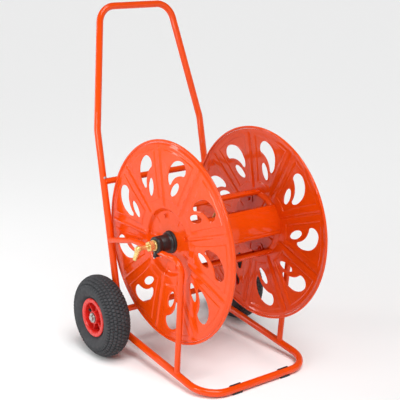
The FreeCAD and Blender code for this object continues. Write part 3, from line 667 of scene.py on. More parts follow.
def both_sides(make, name, body, slot, replaced=(), sharp=32.0):
    """A left piece and its mirrored twin; {} in a name stands for the side."""
    left = make()
    for side, solid in (("left", left), ("right", left.mirrored())):
        nodes_hidden = [node.format(side) for node in replaced]
        solid.piece(name.format(side), body.format(side), slot, nodes_hidden, sharp)


# ---------------------------------------------------------------- frame tubes

TUBE_R = 11.0
FRAME_X = 203.5
FRONT_Y = -291.25
FRONT_Z = 14.0
RAIL_SLOPE = 0.13
UPRIGHT_Y0 = 129.15
UPRIGHT_LEAN = 0.208
JOINT_Z = 567.0
CROSSBAR_Z = 536.0
CROSS_TUBE_R = 10.0
SUPPORT_R = 9.0
SUPPORT_X = 210.0
SUPPORT_Z = 390.0
SUPPORT_FOOT_Y = -151.25
SUPPORT_FRONT_Y = -180.25
SUPPORT_BREAK_Y = 64.75
SUPPORT_END_Y = 193.75
SUPPORT_END_Z = 356.46
WELD_R = 1.9
WHEEL_R = 130.0
HANDLE_KINK_Z = 695.0
HANDLE_TOP = (134.6, 358.75, 1073.0)
JOINT_GAP = 0.7


def upright_y(z):
    return UPRIGHT_Y0 + UPRIGHT_LEAN * z


def rail_z(y):
    return FRONT_Z + RAIL_SLOPE * (y - FRONT_Y)


def both_ways(left):
    """The left half of a symmetrical route, carried on to the right."""
    return left + [(-x, y, z) for x, y, z in reversed(left)]


def weld(solid, start, heading, small_r, on, along, big_r, seed):
    """A rippled bead round the end of a tube where it meets the side of a thicker one."""
    start, on = Vector(start), Vector(on)
    heading, along = Vector(heading).normalized(), Vector(along).normalized()
    first, second = side_axes(heading)
    chance = random.Random(seed)
    path, radii = [], []
    count = 44
    for k in range(count):
        turn = 2 * math.pi * k / count
        point = start + (first * math.cos(turn) + second * math.sin(turn)) * small_r
        gap = point - on
        side = gap - along * gap.dot(along)
        way = heading - along * heading.dot(along)
        a, b, c = way.dot(way), 2 * side.dot(way), side.dot(side) - big_r * big_r
        root = b * b - 4 * a * c
        reach = (-b - math.sqrt(root)) / (2 * a) if root > 0 else -b / (2 * a)
        path.append(point + heading * reach)
        radii.append(WELD_R * (1 + 0.12 * math.sin(k * 2.1) + chance.uniform(-0.06, 0.06)))
    solid.swept(path, WELD_R, 10, True, radii)


def make_frame():
    heel_z = (FRONT_Z + RAIL_SLOPE * (UPRIGHT_Y0 - FRONT_Y)) / (1 - RAIL_SLOPE * UPRIGHT_LEAN)
    upright = [(-FRAME_X, upright_y(z), z) for z in (JOINT_Z, heel_z)]
    route = both_ways(upright + [(-FRAME_X, FRONT_Y, FRONT_Z)])
    path = path_through(route, [60, 80, 80, 60])
    solid = Solid().swept(path, TUBE_R, 40)
    solid.piece("bent_base_tube", "frame", "orange_paint", ["base_frame"])


def make_handle_bar():
    upright = [(-FRAME_X, upright_y(z), z) for z in (JOINT_Z + JOINT_GAP, HANDLE_KINK_Z)]
    top_x, top_y, top_z = HANDLE_TOP
    route = both_ways(upright + [(-top_x, top_y, top_z)])
    path = path_through(route, [120, 60, 60, 120])
    solid = Solid().swept(path, TUBE_R, 40)
    lean = Vector((0, UPRIGHT_LEAN, 1)).normalized()
    for side in (-1, 1):
        top = Vector((side * FRAME_X, upright_y(JOINT_Z), JOINT_Z))
        solid.rod(top - lean * 3, top + lean * 3, TUBE_R - 0.7, 0.2)
    solid.piece("handle_loop", "frame", "orange_paint", ["handle_bar"])


def make_handle_screws():
    solid = Solid()
    z = JOINT_Z - 50 / 3
    seat = upright_y(z) - TUBE_R + 0.2
    for side in (-1, 1):
        dome = [(-2.9 * math.cos(t), 4.7 * math.sin(t)) for t in (0, 0.3, 0.6, 0.9, 1.2, 1.45)]
        outline = [(-2.0, 0), (-2.0, 1.6), (-2.75, 1.7)] + dome[2:] + [(0.4, 4.7), (0.6, 0)]
        solid.turned(outline, (side * FRAME_X, seat, z), (0, 1, 0), 32, False)
        solid.rod((side * FRAME_X, seat + 20, z), (side * FRAME_X, seat + 24.4, z), 2.4)
    solid.piece("joint_screws", "frame", "zinc_steel", ["handle_screws"])


def support_route(side):
    return [
        (side * FRAME_X, SUPPORT_FOOT_Y, rail_z(SUPPORT_FOOT_Y) + 2),
        (side * SUPPORT_X, SUPPORT_FRONT_Y, SUPPORT_Z),
        (side * SUPPORT_X, SUPPORT_BREAK_Y, SUPPORT_Z),
        (side * SUPPORT_X, SUPPORT_END_Y - 3, SUPPORT_END_Z + 0.8),
    ]


def make_support():
    path = path_through(support_route(-1), [38, 90])
    last = path[-1]
    heading = (last - path[-2]).normalized()
    radii = [SUPPORT_R] * len(path)
    for k in range(1, 9):
        turn = k / 8 * math.pi / 2
        path.append(last + heading * 5 * math.sin(turn))
        radii.append(max(0.6, SUPPORT_R * (0.35 + 0.65 * math.cos(turn)) if k < 8 else 0.6))
    return Solid().swept(path, SUPPORT_R, 36, False, radii)


def add_welds():
    """The weld beads of both supports, the crossbar and the axle's sleeve, on the frame."""
    solid = Solid()
    upright = (0, UPRIGHT_LEAN, 1)
    route = support_route(-1)
    foot = Vector(route[0])
    way_down = foot - Vector(route[1])
    on_rail = Vector((-FRAME_X, 0, rail_z(0)))
    start = foot - way_down.normalized() * 60
    weld(solid, start, way_down, SUPPORT_R, on_rail, (0, 1, RAIL_SLOPE), TUBE_R, 3)
    for z in (CROSSBAR_Z, WHEEL_R):
        start = (-100, upright_y(z), z)
        on_upright = (-FRAME_X, UPRIGHT_Y0, 0)
        weld(solid, start, (-1, 0, 0), CROSS_TUBE_R, on_upright, upright, TUBE_R, round(z))
    end = Vector(route[3])
    for low in (-1, 1):
        spots = []
        for k in range(9):
            down = low * (7.6 - 0.22 * k) - 0.6
            spots.append(Vector((-SUPPORT_X - 2.5 + 1.6 * k, end.y + 5 - 0.35 * k, end.z + down)))
        solid.swept(spots, 1.6, 10)
    both = solid.mirrored()
    solid.add(both.verts, both.faces)
    solid.piece("weld_beads", "frame", "orange_paint")


def add_frame():
    make_frame()
    make_handle_bar()
    make_handle_screws()
    both_sides(make_support, "bent_support_{}", "frame", "orange_paint", ["hub_support_{}"])
    cross_tubes = (("crossbar_tube", CROSSBAR_Z, "upper_crossbar"), ("axle_tube", WHEEL_R, "axle_sleeve"))
    for name, z, node in cross_tubes:
        ends = [Vector((side * (FRAME_X - 4), upright_y(z), z)) for side in (-1, 1)]
        tube = Solid().swept(ends, CROSS_TUBE_R, 36)
        tube.piece(name, "frame", "orange_paint", [node])
    add_welds()


add_frame()


# ---------------------------------------------------------------- wheels

WHEEL_X = 270.5
SECTION_R = 42.5
SECTION_CENTRE_R = 87.5
TREAD_PITCHES = 64
TREAD_COLUMNS = 10
TREAD_ROW = 13.2
TREAD_DEPTH = 4.6
TREAD_EDGE = 53.0
TREAD_SLANT = 0.10
SHOULDER_RING = 62.5
SHOULDER_DROP = 0.8
SPOKES = 6
VALVE_ANGLE = 12.0
AXLE_R = 8.0


def tread_height(across, column):
    """Depth below the tyre's full size, 0 on top of a block; across is along the section's arc."""
    row = round(across / TREAD_ROW)
    offset = abs(across / TREAD_ROW - row)
    shift = 0.5 * (row % 2)
    spot = column / TREAD_COLUMNS + shift + TREAD_SLANT * (across / TREAD_ROW - row) * (1 if row >= 0 else -1)
    along = abs(spot - round(spot))
    top = smooth_step((0.5 - offset) / 0.22) * smooth_step((0.5 - along) / 0.24)
    fade = smooth_step((TREAD_EDGE + 7 - abs(across)) / 5)
    return -TREAD_DEPTH * (1 - top) * fade


def tyre_rows():
    """The section's outline from the left bead over the crown to the right bead, then back inside it."""
    rows = []
    for k in range(9):
        rows.append((-26.5 - 2.1 * math.sin(k / 8 * 1.2), 55 + 1.1 * k, None))
    start, middle, end = (-30.5, 65.5), (-38.2, 73), (-SECTION_R, SECTION_CENTRE_R)
    for x, r in circle_arc(start, middle, end, 2.6):
        rows.append((x, r, None))
    step = TREAD_ROW / 8
    count = round(SECTION_R * math.pi / 2 / step)
    for k in range(-count, count + 1):
        across = k * step
        turn = across / SECTION_R
        ring = 0.9 * math.exp(-((abs(across) - SHOULDER_RING) / 1.6) ** 2)
        x, r = SECTION_R * math.sin(turn), SECTION_CENTRE_R + SECTION_R * math.cos(turn)
        rows.append((x, r, (across, turn, ring)))
    for x, r, _ in reversed([row for row in rows if row[2] is None]):
        rows.append((-x, r, None))
    inner = [(26, 53), (22, 53), (22, 66), (34, 76), (37, 88), (26, 112), (0, 121)]
    inner += [(-x, r) for x, r in reversed(inner[:-1])]
    return rows + [(x, r, None) for x, r in inner]


def make_tyre():
    rows = tyre_rows()
    columns = TREAD_PITCHES * TREAD_COLUMNS
    verts = []
    for c in range(columns):
        turn = 2 * math.pi * c / columns
        dy, dz = math.cos(turn), math.sin(turn)
        for x, r, tread in rows:
            if tread:
                across, lean, ring = tread
                sink = tread_height(across, c) + min(ring, SHOULDER_DROP)
                sink -= SHOULDER_DROP if abs(across) > TREAD_EDGE + 7 else 0
                x += sink * math.sin(lean)
                r += sink * math.cos(lean)
            verts.append((x - WHEEL_X, AXLE.y / MM + r * dy, WHEEL_R + r * dz))
    return Solid().add(verts, grid_faces(columns, len(rows)))


def wheel_point(along, radius, degrees):
    turn = math.radians(degrees)
    return Vector((along - WHEEL_X, AXLE.y / MM + radius * math.cos(turn), WHEEL_R + radius * math.sin(turn)))


def make_rim():
    """The red rim: rolled flanges, a deep dish with fins, a web with windows and the hub tube."""
    hub = wheel_point(0, 0, 0)
    solid = Solid()
    barrel = [
        (-31, 62, 2), (-34.3, 59.5, 3), (-34.6, 50, 3), (-31, 46.3, 3), (-9, 44, 2), (-9, 46.8, 0),
        (8, 46.8, 0), (8, 44, 2), (31, 46.6, 3), (34.3, 50, 3), (34.3, 59.5, 3), (31, 62, 2),
        (27, 57, 2), (25, 52, 2), (-25, 52, 2), (-27, 57, 2),
    ]
    solid.turned(rounded(barrel, 1.0), hub, sides=120)
    tube = [
        (-31.5, 20.2, 1.6), (-31.5, 15.9, 0.6), (-12, 15.9), (-12, 11.2), (19, 11.2), (19, 15.9),
        (38, 15.9, 0.6), (38, 20.2, 1.6), (8, 21.4), (-8, 21.4),
    ]
    solid.turned(rounded(tube, 0.6, 3), hub, sides=72)
    half_window = 180.0 / SPOKES - 11
    for k in range(SPOKES):
        middle = VALVE_ANGLE + 360.0 / SPOKES * (k + 0.5)
        wide = 180.0 / SPOKES - half_window
        outline = []
        for radius, way in ((20.0, 1), (47.5, -1)):
            flare = 1.0 if radius > 30 else 1.25
            for step in range(-6, 7):
                spot = wheel_point(0, radius, middle + way * wide * flare * step / 6)
                outline.append((spot.y, spot.z))
        solid.plate(outline, hub.x - 8, hub.x - 1, 1.0)
        turn = Matrix.Rotation(math.radians(middle), 3, "X")
        centre = Vector((0, AXLE.y / MM, WHEEL_R))
        low = (hub.x - 24, centre.y + 19, centre.z - 2)
        high = (hub.x - 5, centre.y + 46.5, centre.z + 2)
        solid.block(low, high, 1.3, turn, centre)
        solid.block((hub.x - 3, low[1], low[2]), (hub.x + 17, high[1], high[2]), 1.3, turn, centre)
    for radius in (25.0, 43.0):
        ring = [(-8, radius - 3), (-1, radius - 3), (-1, radius + 3), (-8, radius + 3)]
        solid.turned(rounded(ring, 1.0), hub, sides=96)
    return solid


def make_valve():
    x = -17.0
    tip, root = wheel_point(x, 27, VALVE_ANGLE), wheel_point(x, 52.6, VALVE_ANGLE)
    stem = [(0, 0, 0), (0, 3.4), (1.2, 4.5), (10.5, 4.5), (11.2, 3.5), (17, 3.5), (20, 4.6)]
    stem += [(25.5, 4.6), (25.5, 0, 0)]
    way = (root - tip).normalized()
    first, second = side_axes(way)
    solid = Solid().turned(rounded(stem, 0.5, 3, False), tip, way, 32, False)
    for k in range(12):
        turn = 2 * math.pi * k / 12
        out = (first * math.cos(turn) + second * math.sin(turn)) * 4.4
        solid.rod(tip + out + way * 1.6, tip + out + way * 10, 0.45, 0.2, 8)
    return solid


def make_bushes():
    hub = wheel_point(0, 0, 0)
    solid = Solid()
    for start, end, lip in ((-32.2, -12.2, -1), (19.2, 39.0, 1)):
        ring = [(start, 8.06), (end, 8.06), (end, 15.8), (start, 15.8)]
        solid.turned(rounded(ring, 0.7, 3), hub, sides=64)
        face = start if lip < 0 else end
        groove = [(face - 0.3, 10.4), (face - 0.3, 11.4), (face + 0.3, 11.4), (face + 0.3, 10.4)]
        solid.turned(rounded(groove, 0.25, 3), hub, sides=48)
    return solid


def make_axle_fittings():
    """The thrust washer and the spacer beside the wheel."""
    hub = wheel_point(0, 0, 0)
    solid = Solid()
    washer = [(-34.7, 8.0), (-32.5, 8.0), (-32.5, 15), (-34.7, 15)]
    solid.turned(rounded(washer, 0.5, 3), hub, sides=64)
    spacer = [(39.4, 8.0), (55.7, 8.0), (55.7, 12), (39.4, 12)]
    solid.turned(rounded(spacer, 0.5, 3), hub, sides=48)
    return solid


def make_split_pin():
    """A bent wire: eye above the axle, two legs through it and spread below."""
    x, y = -307.5, AXLE.y / MM
    solid = Solid()
    for side in (-1, 1):
        path = []
        for k in range(9):
            turn = math.radians(-68 + 158 * k / 8)
            path.append(Vector((x, y + side * 3.3 * math.cos(turn), WHEEL_R + 12.6 + 3.3 * math.sin(turn))))
        path = [Vector((x, y + side * 0.8, WHEEL_R + 8.6))] + path
        legs = [Vector((x, y + side * 0.8, WHEEL_R - 9.5)), Vector((x, y + side * 1.6, WHEEL_R - 11.5)),
                Vector((x, y + side * 3.6, WHEEL_R - 13.4))]
        solid.swept(legs[::-1] + path, 0.78, 12)
    return solid


def make_axle():
    outline = rounded([(-311, 0, 0), (-311, AXLE_R), (311, AXLE_R), (311, 0, 0)], 1.2, 4, False)
    return Solid().turned(outline, (0, AXLE.y / MM, WHEEL_R), sides=48, closed=False)


def add_wheels():
    both_sides(make_tyre, "block_tread_tyre_{}", "wheel_{}", "tyre_rubber", ["tyre_{}"], 60)
    both_sides(make_rim, "dished_rim_{}", "wheel_{}", "rim_plastic", ["wheel_rim_{}"])
    both_sides(make_valve, "capped_valve_{}", "wheel_{}", "valve_rubber", ["valve_{}"])
    both_sides(make_bushes, "axle_bushes_{}", "wheel_{}", "bush_plastic", ["wheel_bearings_{}"])
    fitted = ["wheel_washer_{}", "wheel_spacer_{}"]
    both_sides(make_axle_fittings, "axle_fittings_{}", "frame", "zinc_steel", fitted)
    both_sides(make_split_pin, "bent_split_pin_{}", "frame", "zinc_steel", ["split_pin_{}"])
    make_axle().piece("axle_bar", "frame", "zinc_steel", ["axle_rod"])


add_wheels()


# ---------------------------------------------------------------- hub, inlet and shaft

REEL_Y = REEL.y / MM
REEL_Z = REEL.z / MM
SHAFT_R = 10.65
LUG_X = 14.5
LUG_Y = 7.0
LUG_SCREW = 11.8
HOUSING_END = 222.0
ELBOW_X = -280.0
TAIL_LEAN = math.radians(26)
KNUCKLE_R = 9.2


def on_axis(x):
    return Vector((x, REEL_Y, REEL_Z))


def reel_point(x, radius, degrees):
    """A point at an angle about the reel's axis: 0 towards the front, 90 up."""
    turn = math.radians(degrees)
    return Vector((x, REEL_Y - radius * math.cos(turn), REEL_Z + radius * math.sin(turn)))


def pan_head(solid, seat, out, radius, height):
    """A round screw head with a cross recess, standing on its seat."""
    seat, out = Vector(seat), Vector(out).normalized()
    outline = [(0, 0), (0, radius)]
    for k in range(1, 6):
        turn = math.pi / 2 * k / 5
        share = 0.28 + (0.72 * math.cos(turn) if k < 5 else 0)
        outline.append((height * math.sin(turn), radius * share))
    outline += [(height * 0.55, radius * 0.2), (height * 0.5, 0)]
    solid.turned(outline, seat, out, 28, False)
    first, second = side_axes(out)
    for way in (first, second):
        middle = seat + out * height * 0.82
        solid.rod(middle - way * radius * 0.52, middle + way * radius * 0.52, radius * 0.1, 0.1, 8)


def make_flange():
    ring = [(-164.8, 10.7), (-171.3, 10.7), (-171.3, 31.5, 2.2), (-167.8, 34, 2.0), (-164.8, 34, 0.5)]
    return Solid().turned(rounded(ring, 0.6), on_axis(0), sides=112)


def make_flange_screws():
    solid = Solid()
    for turn in (45, 135, 225, 315):
        pan_head(solid, reel_point(-170.9, 26, turn), (-1, 0, 0), 4.4, 0.9)
        spot = reel_point(0, 26, turn)
        solid.rod(spot + ALONG_X * -170.5, spot + ALONG_X * -157.9, 2.45, 0.5, 20)
        solid.hexagon(-163.2, 4.0, 8.0, spot)
    return solid


def make_housing():
    """The moulded bearing: flared towards the flange, with the lug that sits on the support tube."""
    ring = [(-172.1, 10.75), (-172.1, 31.4)]
    for k in range(11):
        turn = math.pi * k / 20
        ring.append((-184.5 + 9.7 * math.cos(turn), 31.4 - 6.4 * math.sin(turn)))
    ring += [(-206, 25.0), (-207, 24.4), (-208, 25.0), (-219.5, 25.0), (-221.3, 24.4)]
    ring += [(-222, 22.8), (-222, 17.6), (-221.2, 17.2), (-221.2, 10.75)]
    solid = Solid().turned(ring, on_axis(0), sides=96)
    low = (-SUPPORT_X - LUG_X, REEL_Y - LUG_Y, SUPPORT_Z + 0.5)
    high = (-SUPPORT_X + LUG_X, REEL_Y + LUG_Y, SUPPORT_Z + 5.0)
    solid.block(low, high, 1.2)
    low = (-HOUSING_END + 0.6, REEL_Y - 10, SUPPORT_Z + 1)
    high = (-SUPPORT_X + 11, REEL_Y + 10, REEL_Z - 6)
    return solid.block(low, high, 2.0)


def make_clamp():
    low = (-SUPPORT_X - LUG_X, REEL_Y - LUG_Y, SUPPORT_Z - 14)
    high = (-SUPPORT_X + LUG_X, REEL_Y + LUG_Y, SUPPORT_Z - 0.5)
    solid = Solid().block(low, high, 3.2)
    for side in (-1, 1):
        x = -SUPPORT_X + side * LUG_SCREW
        outline = rounded([(0, 0, 0), (0, 5.0), (3, 5.4), (3, 0, 0)], 0.4, 3, False)
        solid.turned(outline, (x, REEL_Y, SUPPORT_Z - 14.4), UP, 24, False)
    return solid


def make_clamp_screws():
    solid = Solid()
    for side in (-1, 1):
        x = -SUPPORT_X + side * LUG_SCREW
        solid.hexagon(-3.4, 3.2, 7.0, (x, REEL_Y, SUPPORT_Z - 14.4), UP)
        solid.rod((x, REEL_Y, SUPPORT_Z - 14.6), (x, REEL_Y, SUPPORT_Z + 8.2), 1.95, 0.5, 20)
    return solid


def make_union_nut():
    ring = [(-222.2, 10.8), (-222.2, 15.4), (-223.4, 16.5), (-226.8, 16.5), (-228, 15.4), (-228, 10.8)]
    solid = Solid().turned(rounded(ring, 0.5, 3), on_axis(0), sides=96)
    solid.hexagon(-246, 17.6, 27.0, on_axis(0), bore=6.3)
    for k in range(36):
        solid.rod(reel_point(-223.6, 16.2, 10 * k), reel_point(-226.6, 16.2, 10 * k), 0.55, 0.2, 6)
    return solid


def make_elbow():
    """The cast elbow: neck, knuckle with its flats, shoulder and the barbed tail."""
    centre = on_axis(ELBOW_X)
    down = Vector((0, math.sin(TAIL_LEAN), -math.cos(TAIL_LEAN)))
    neck = [(0, 0, 0), (2.2, 9.0), (5.5, 9.0), (7.5, 7.0), (12, 6.2), (26, 6.2), (28, 7.4)]
    neck += [(31, 7.4), (33, 6.1), (37.5, 6.1), (37.5, 9.3), (43.5, 9.3), (43.5, 0, 0)]
    solid = Solid().turned(rounded(neck, 0.7, 3, False), centre, sides=56, closed=False)
    ball = [(-KNUCKLE_R, 0)]
    for k in range(1, 14):
        turn = math.pi * k / 14
        ball.append((-KNUCKLE_R * math.cos(turn), KNUCKLE_R * math.sin(turn)))
    ball.append((KNUCKLE_R, 0))
    solid.turned(ball, centre, sides=40, closed=False)
    solid.rod(centre + ALONG_X * -10.4, centre + ALONG_X * -4, 5.4, 0.8, 32)
    tail = [(0, 0, 0), (4, 7.2), (8.6, 7.4), (8.8, 8.5), (15, 8.5), (15, 6.1)]
    for k in range(4):
        start = 16.6 + 6.1 * k
        tail += [(start, 6.4), (start + 0.4, 7.0), (start + 4.9, 6.6)]
    tail += [(42, 5.9), (42, 4.4), (30, 4.4), (30, 0, 0)]
    return solid.turned(rounded(tail, 0.35, 2, False), centre, down, 48, False)


def make_outlet():
    """The brass branch inside the drum that takes the garden hose."""
    out = (reel_point(-20, 1, 65) - on_axis(-20)).normalized()
    saddle = [(-33, 10.7), (-33, 13.6), (-30, 14.7), (-10, 14.7), (-7, 13.6), (-7, 10.7)]
    solid = Solid().turned(rounded(saddle, 0.6), on_axis(0), sides=72)
    stem = [(10.9, 0, 0), (10.9, 8.6), (16, 8.6), (18, 7.2), (33, 7.2), (33.4, 8.2)]
    stem += [(36, 8.2), (36.4, 6.2)]
    for k in range(6):
        start = 38 + 6.4 * k
        stem += [(start, 6.0), (start + 0.4, 7.0), (start + 5.1, 6.1)]
    stem += [(78, 5.8), (78, 4.6), (60, 4.6), (60, 0, 0)]
    solid.turned(rounded(stem, 0.35, 2, False), on_axis(-20), out, 48, False)
    return solid.hexagon(18.4, 13.2, 21.0, on_axis(-20), out)


def make_shaft():
    outline = [(-232, 7.0, 0.4), (-232, SHAFT_R, 1.0), (240, SHAFT_R, 1.0), (240, 0, 0)]
    outline += [(18, 0, 0), (18, 7.0, 0)]
    return Solid().turned(rounded(outline, 0.5, 3, False) + [(-231, 7.0)], on_axis(0), sides=56)


def add_hub():
    both_sides(make_flange, "moulded_flange_{}", "reel", "hub_plastic", ["reel_flange_{}"])
    both_sides(make_flange_screws, "flange_fixings_{}", "reel", "black_screws", ["flange_screws_{}"])
    both_sides(make_housing, "flared_housing_{}", "frame", "hub_plastic", ["hub_housing_{}"], 40)
    both_sides(make_clamp, "clamp_cap_{}", "frame", "hub_plastic", ["hub_clamp_{}"])
    both_sides(make_clamp_screws, "clamp_fixings_{}", "frame", "zinc_steel", ["hub_clamp_screws_{}"])
    make_union_nut().piece("union_nut", "frame", "brass", ["inlet_collar"])
    make_elbow().piece("barbed_elbow", "inlet", "brass", ["inlet_elbow"])
    make_outlet().piece("barbed_outlet", "reel", "brass", ["outlet_branch"])
    make_shaft().piece("turned_shaft", "reel", "zinc_steel", ["reel_shaft"])


add_hub()


# ---------------------------------------------------------------- drum strips and their bolts

DRUM_R = 105.25
DRUM_HALF = 175.2
STRIP_HALF = math.radians(26)
STRIP_ANGLES = {"front": 20, "top": 110, "rear": 200, "bottom": 290}
TAB_BOLT_R = 78.0
LIP_TURN = 0.036
LINE_ANGLE = 0.345
HALF_SHEET = 0.72


def strip_line():
    """The middle line of a strip's sheet across the drum, as (angle, radius): lip, pressed arc, lip."""
    half = []
    for radius in (96.6, 98.5, 100.4):
        half.append((STRIP_HALF, radius))
    for k in range(7):
        t = k / 6
        angle = STRIP_HALF * (1 - t * t) + (STRIP_HALF - LIP_TURN) * t * t
        half.append((angle, 101.6 * (1 - t) ** 2 + DRUM_R * (2 * t * (1 - t) + t * t)))
    for k in range(1, 33):
        angle = (STRIP_HALF - LIP_TURN) * (1 - k / 32)
        pressed = 1.1 * math.exp(-((angle - LINE_ANGLE) * DRUM_R / 1.7) ** 2)
        half.append((angle, DRUM_R - pressed))
    return half + [(-angle, radius) for angle, radius in reversed(half[:-1])]


def make_strip(middle):
    flat = [(radius * math.sin(angle), radius * math.cos(angle)) for angle, radius in strip_line()]
    rings = []
    for side in (1, -1):
        ring = []
        for k, (x, y) in enumerate(flat):
            before, after = flat[max(k - 1, 0)], flat[min(k + 1, len(flat) - 1)]
            dx, dy = after[0] - before[0], after[1] - before[1]
            length = math.hypot(dx, dy)
            reach = side * HALF_SHEET / length
            ring.append((x - reach * dy, y + reach * dx))
        rings.append(ring)
    outline = rings[0] + rings[1][::-1]
    count = len(outline)
    verts = []
    stations = [way * (DRUM_HALF - inset) for way, inset in
                ((-1, 0), (-1, 0.5), (-1, 12), (1, DRUM_HALF), (1, 12), (1, 0.5), (1, 0))]
    for x in stations:
        for across, out in outline:
            turn = math.degrees(math.atan2(across, out))
            verts.append(reel_point(x, math.hypot(across, out), middle + turn))
    faces = grid_faces(len(stations), count, False)
    for first, way in ((0, -1), ((len(stations) - 1) * count, 1)):
        for k in range(len(flat) - 1):
            faces.append((first + k, first + k + 1, first + count - 2 - k, first + count - 1 - k)[::way])
    solid = Solid().add(verts, faces)
    for x0, x1 in ((-163.2, -161.2), (161.2, 163.2)):
        spots = [reel_point(0, 67.5, middle + a) for a in (-9.5, -5, 0, 5, 9.5)]
        spots += [reel_point(0, r, middle + a) for r, a in ((69.5, 11), (85, 11), (104.6, 11))]
        spots += [reel_point(0, 104.6, middle + a) for a in (7, 3.5, 0, -3.5, -7, -11)]
        spots += [reel_point(0, r, middle - 11) for r in (85, 69.5)]
        solid.plate([(p.y, p.z) for p in spots], x0, x1, 0.4)
    return solid


def make_drum_bolts():
    solid = Solid()
    for middle in STRIP_ANGLES.values():
        spot = reel_point(0, TAB_BOLT_R, middle)
        washer = [(-166.3, 3.0), (-164.8, 3.0), (-164.8, 8.2), (-166.3, 8.2)]
        solid.turned(rounded(washer, 0.4, 3), spot, sides=40)
        solid.hexagon(-169.4, 3.1, 10.0, spot)
        solid.hexagon(-161.1, 4.4, 10.0, spot)
        solid.rod(spot + ALONG_X * -168, spot + ALONG_X * -155.3, 2.9, 0.5, 24)
    return solid


def add_drum():
    for name, middle in STRIP_ANGLES.items():
        strip = make_strip(middle)
        strip.piece("rolled_strip_" + name, "reel", "orange_paint", ["drum_strip_" + name])
    both_sides(make_drum_bolts, "painted_bolts_{}", "reel", "orange_paint", ["drum_bolts_{}"])


add_drum()


# ---------------------------------------------------------------- crank and feet

ARM_X = 231.0
PIN_R = 5.0
BOSS_END_R = 15.5
PIN_END_R = 11.8
GRIP_R = 13.9
CLIP_OUTER_R = 13.9
CLIP_INNER_R = 11.1
CRANK_END = on_axis(0) - UP * 128


def make_crank_arm():
    """A tapered steel arm with a boss at the shaft and the grip's pin at its end."""
    outline = []
    for k in range(25):
        turn = math.radians(-4 + 188 * k / 24)
        outline.append((REEL_Y + BOSS_END_R * math.cos(turn), REEL_Z + BOSS_END_R * math.sin(turn)))
    for k in range(21):
        turn = math.radians(184 + 172 * k / 20)
        y, z = PIN_END_R * math.cos(turn), PIN_END_R * math.sin(turn)
        outline.append((CRANK_END.y + y, CRANK_END.z + z))
    solid = Solid().plate(outline, ARM_X, ARM_X + 6, 1.0)
    boss = [(ARM_X - 1.4, SHAFT_R), (ARM_X - 1.4, 16.4), (ARM_X + 7.9, 16.4), (ARM_X + 7.9, SHAFT_R)]
    solid.turned(rounded(boss, 1.2), on_axis(0), sides=64)
    top, low = REEL_Z - 14, CRANK_END.z + 16
    rib = [(REEL_Y - 3, top), (REEL_Y - 2.2, low), (REEL_Y + 2.2, low), (REEL_Y + 3, top)]
    solid.plate(rib, ARM_X + 5.5, ARM_X + 8, 0.8)
    pin = rounded([(ARM_X + 1, 0, 0), (ARM_X + 1, PIN_R), (307.4, PIN_R), (307.4, 0, 0)], 0.8, 3, False)
    return solid.turned(pin, CRANK_END, sides=36, closed=False)


def make_crank_bolt():
    washer = rounded([(240, 0, 0), (240, 15), (242, 15), (242, 0, 0)], 0.6, 3, False)
    solid = Solid().turned(washer, on_axis(0), sides=48, closed=False)
    return solid.hexagon(242, 6.5, 17.0, on_axis(0))


def make_grip():
    """A moulded grip: waisted, with ring grooves and a domed end."""
    body = [(240, 10.8), (241, 12.4), (244, GRIP_R), (247, GRIP_R)]
    for k in range(1, 24):
        x = 247 + 46 * k / 24
        waist = 2.2 * math.sin(math.pi * k / 24)
        groove = 0.55 if k % 3 == 0 else 0
        body += [(x - 0.5, GRIP_R - waist), (x, GRIP_R - waist - groove), (x + 0.5, GRIP_R - waist)]
    body += [(293.6, GRIP_R), (298, GRIP_R), (302, 12.9), (304.6, 11), (306, 8.3), (306, 5.1), (240, 5.1)]
    return Solid().turned(body, CRANK_END, sides=64)


def make_grip_cap():
    ring = [(306.3, 4.2), (306.3, 8), (307.4, 7.6), (308.3, 5.6), (308.3, 4.2)]
    return Solid().turned(rounded(ring, 0.3, 3), CRANK_END, sides=40)


def make_foot():
    """A rubber clip on the front bar, thicker where it stands."""
    outline = []
    for k in range(46):
        turn = math.radians(45 + 217 * k / 45)
        y, z = -CLIP_OUTER_R * math.cos(turn), -CLIP_OUTER_R * math.sin(turn)
        if abs(turn - math.pi / 2) < math.radians(38):
            z = -CLIP_OUTER_R
        outline.append((FRONT_Y + y, FRONT_Z + z))
    for k in range(38):
        turn = math.radians(262 - 217 * k / 37)
        y, z = CLIP_INNER_R * math.cos(turn), CLIP_INNER_R * math.sin(turn)
        outline.append((FRONT_Y - y, FRONT_Z - z))
    solid = Solid().plate(outline, -111, -75, 0.9)
    for x in (-104, -93, -82):
        solid.block((x - 1.6, FRONT_Y - 7, 0.0), (x + 1.6, FRONT_Y + 7, 1.4), 0.4)
    return solid


def add_crank_and_feet():
    make_crank_arm().piece("tapered_arm", "reel", "orange_paint", ["crank_arm"])
    make_crank_bolt().piece("arm_bolt", "reel", "zinc_steel", ["crank_bolt"])
    make_grip().piece("grooved_grip", "grip", "grip_plastic", ["crank_grip"])
    make_grip_cap().piece("grip_end_cap", "reel", "zinc_steel", ["crank_grip_cap"])
    both_sides(make_foot, "rubber_clip_{}", "frame", "black_rubber", ["foot_{}"])


add_crank_and_feet()


# ---------------------------------------------------------------- studio

SKY = 0.15


def add_stage():
    bpy.ops.mesh.primitive_plane_add(size=60, location=(0, 0, 0))
    floor = bpy.context.object
    floor.name = "floor"
    s = Shader("floor_white")
    s.set(Base_Color=(0.96, 0.96, 0.96, 1.0), Roughness=0.85)
    floor.data.materials.append(s.material)


def link_lamp(light, place, towards_light):
    lamp = bpy.data.objects.new(light.name, light)
    lamp.location = place
    lamp.rotation_euler = towards_light.to_track_quat("Z", "Y").to_euler()
    bpy.context.scene.collection.objects.link(lamp)


def add_area_light(name, place, aim, size, power):
    light = bpy.data.lights.new(name, "AREA")
    light.shape = "RECTANGLE"
    light.size, light.size_y = size
    light.energy = power
    link_lamp(light, place, Vector(place) - Vector(aim))


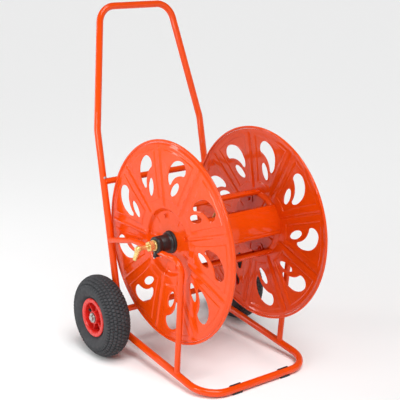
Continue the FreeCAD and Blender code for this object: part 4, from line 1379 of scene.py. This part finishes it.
def add_world():
    """An even sky, white up to a low band round the horizon and dimmer above it."""
    world = bpy.data.worlds.new("studio")
    world.use_nodes = True
    tree = world.node_tree
    background = tree.nodes["Background"]
    place = tree.nodes.new("ShaderNodeTexCoord")
    split = tree.nodes.new("ShaderNodeSeparateXYZ")
    band = tree.nodes.new("ShaderNodeMapRange")
    for name, value in (("From Min", 0.10), ("From Max", 0.26), ("To Min", 1.0), ("To Max", SKY)):
        band.inputs[name].default_value = value
    tree.links.new(place.outputs["Generated"], split.inputs["Vector"])
    tree.links.new(split.outputs["Z"], band.inputs["Value"])
    tree.links.new(band.outputs["Result"], background.inputs["Strength"])
    background.inputs["Color"].default_value = (1, 1, 1, 1)
    bpy.context.scene.world = world


def add_sun(towards_light, strength, spread):
    light = bpy.data.lights.new("soft_sun", "SUN")
    light.energy = strength
    light.angle = math.radians(spread)
    link_lamp(light, (0, 0, 0), Vector(towards_light))


def add_camera():
    """A long lens at the front left, slightly above the reel."""
    eye = Vector((-1.7530, -2.2104, 1.2954))
    yaw, pitch = 0.61188, 0.23066
    level = math.cos(pitch)
    forward = Vector((math.sin(yaw) * level, math.cos(yaw) * level, -math.sin(pitch)))
    right = Vector((math.cos(yaw), -math.sin(yaw), 0))
    up = right.cross(forward)
    camera = bpy.data.cameras.new("camera")
    camera.sensor_width = 36
    camera.lens = 85.39
    camera.shift_x = 0.1303
    camera.shift_y = -0.1069
    holder = bpy.data.objects.new("camera", camera)
    turned = Matrix((right, up, -forward)).transposed()
    holder.matrix_world = Matrix.Translation(eye) @ turned.to_4x4()
    bpy.context.scene.collection.objects.link(holder)
    bpy.context.scene.camera = holder


bpy.context.scene.view_settings.view_transform = "Standard"
add_stage()
add_world()
add_sun((-0.1, -0.45, 1.0), 2.5, 40)
add_area_light("key", (-1.5, -0.35, 0.95), (-0.2, 0.0, 0.45), (0.6, 0.6), 11)
add_area_light("strip", (-1.9, 1.9, 1.3), (0, 0, 0.5), (0.2, 2.4), 13)
add_camera()
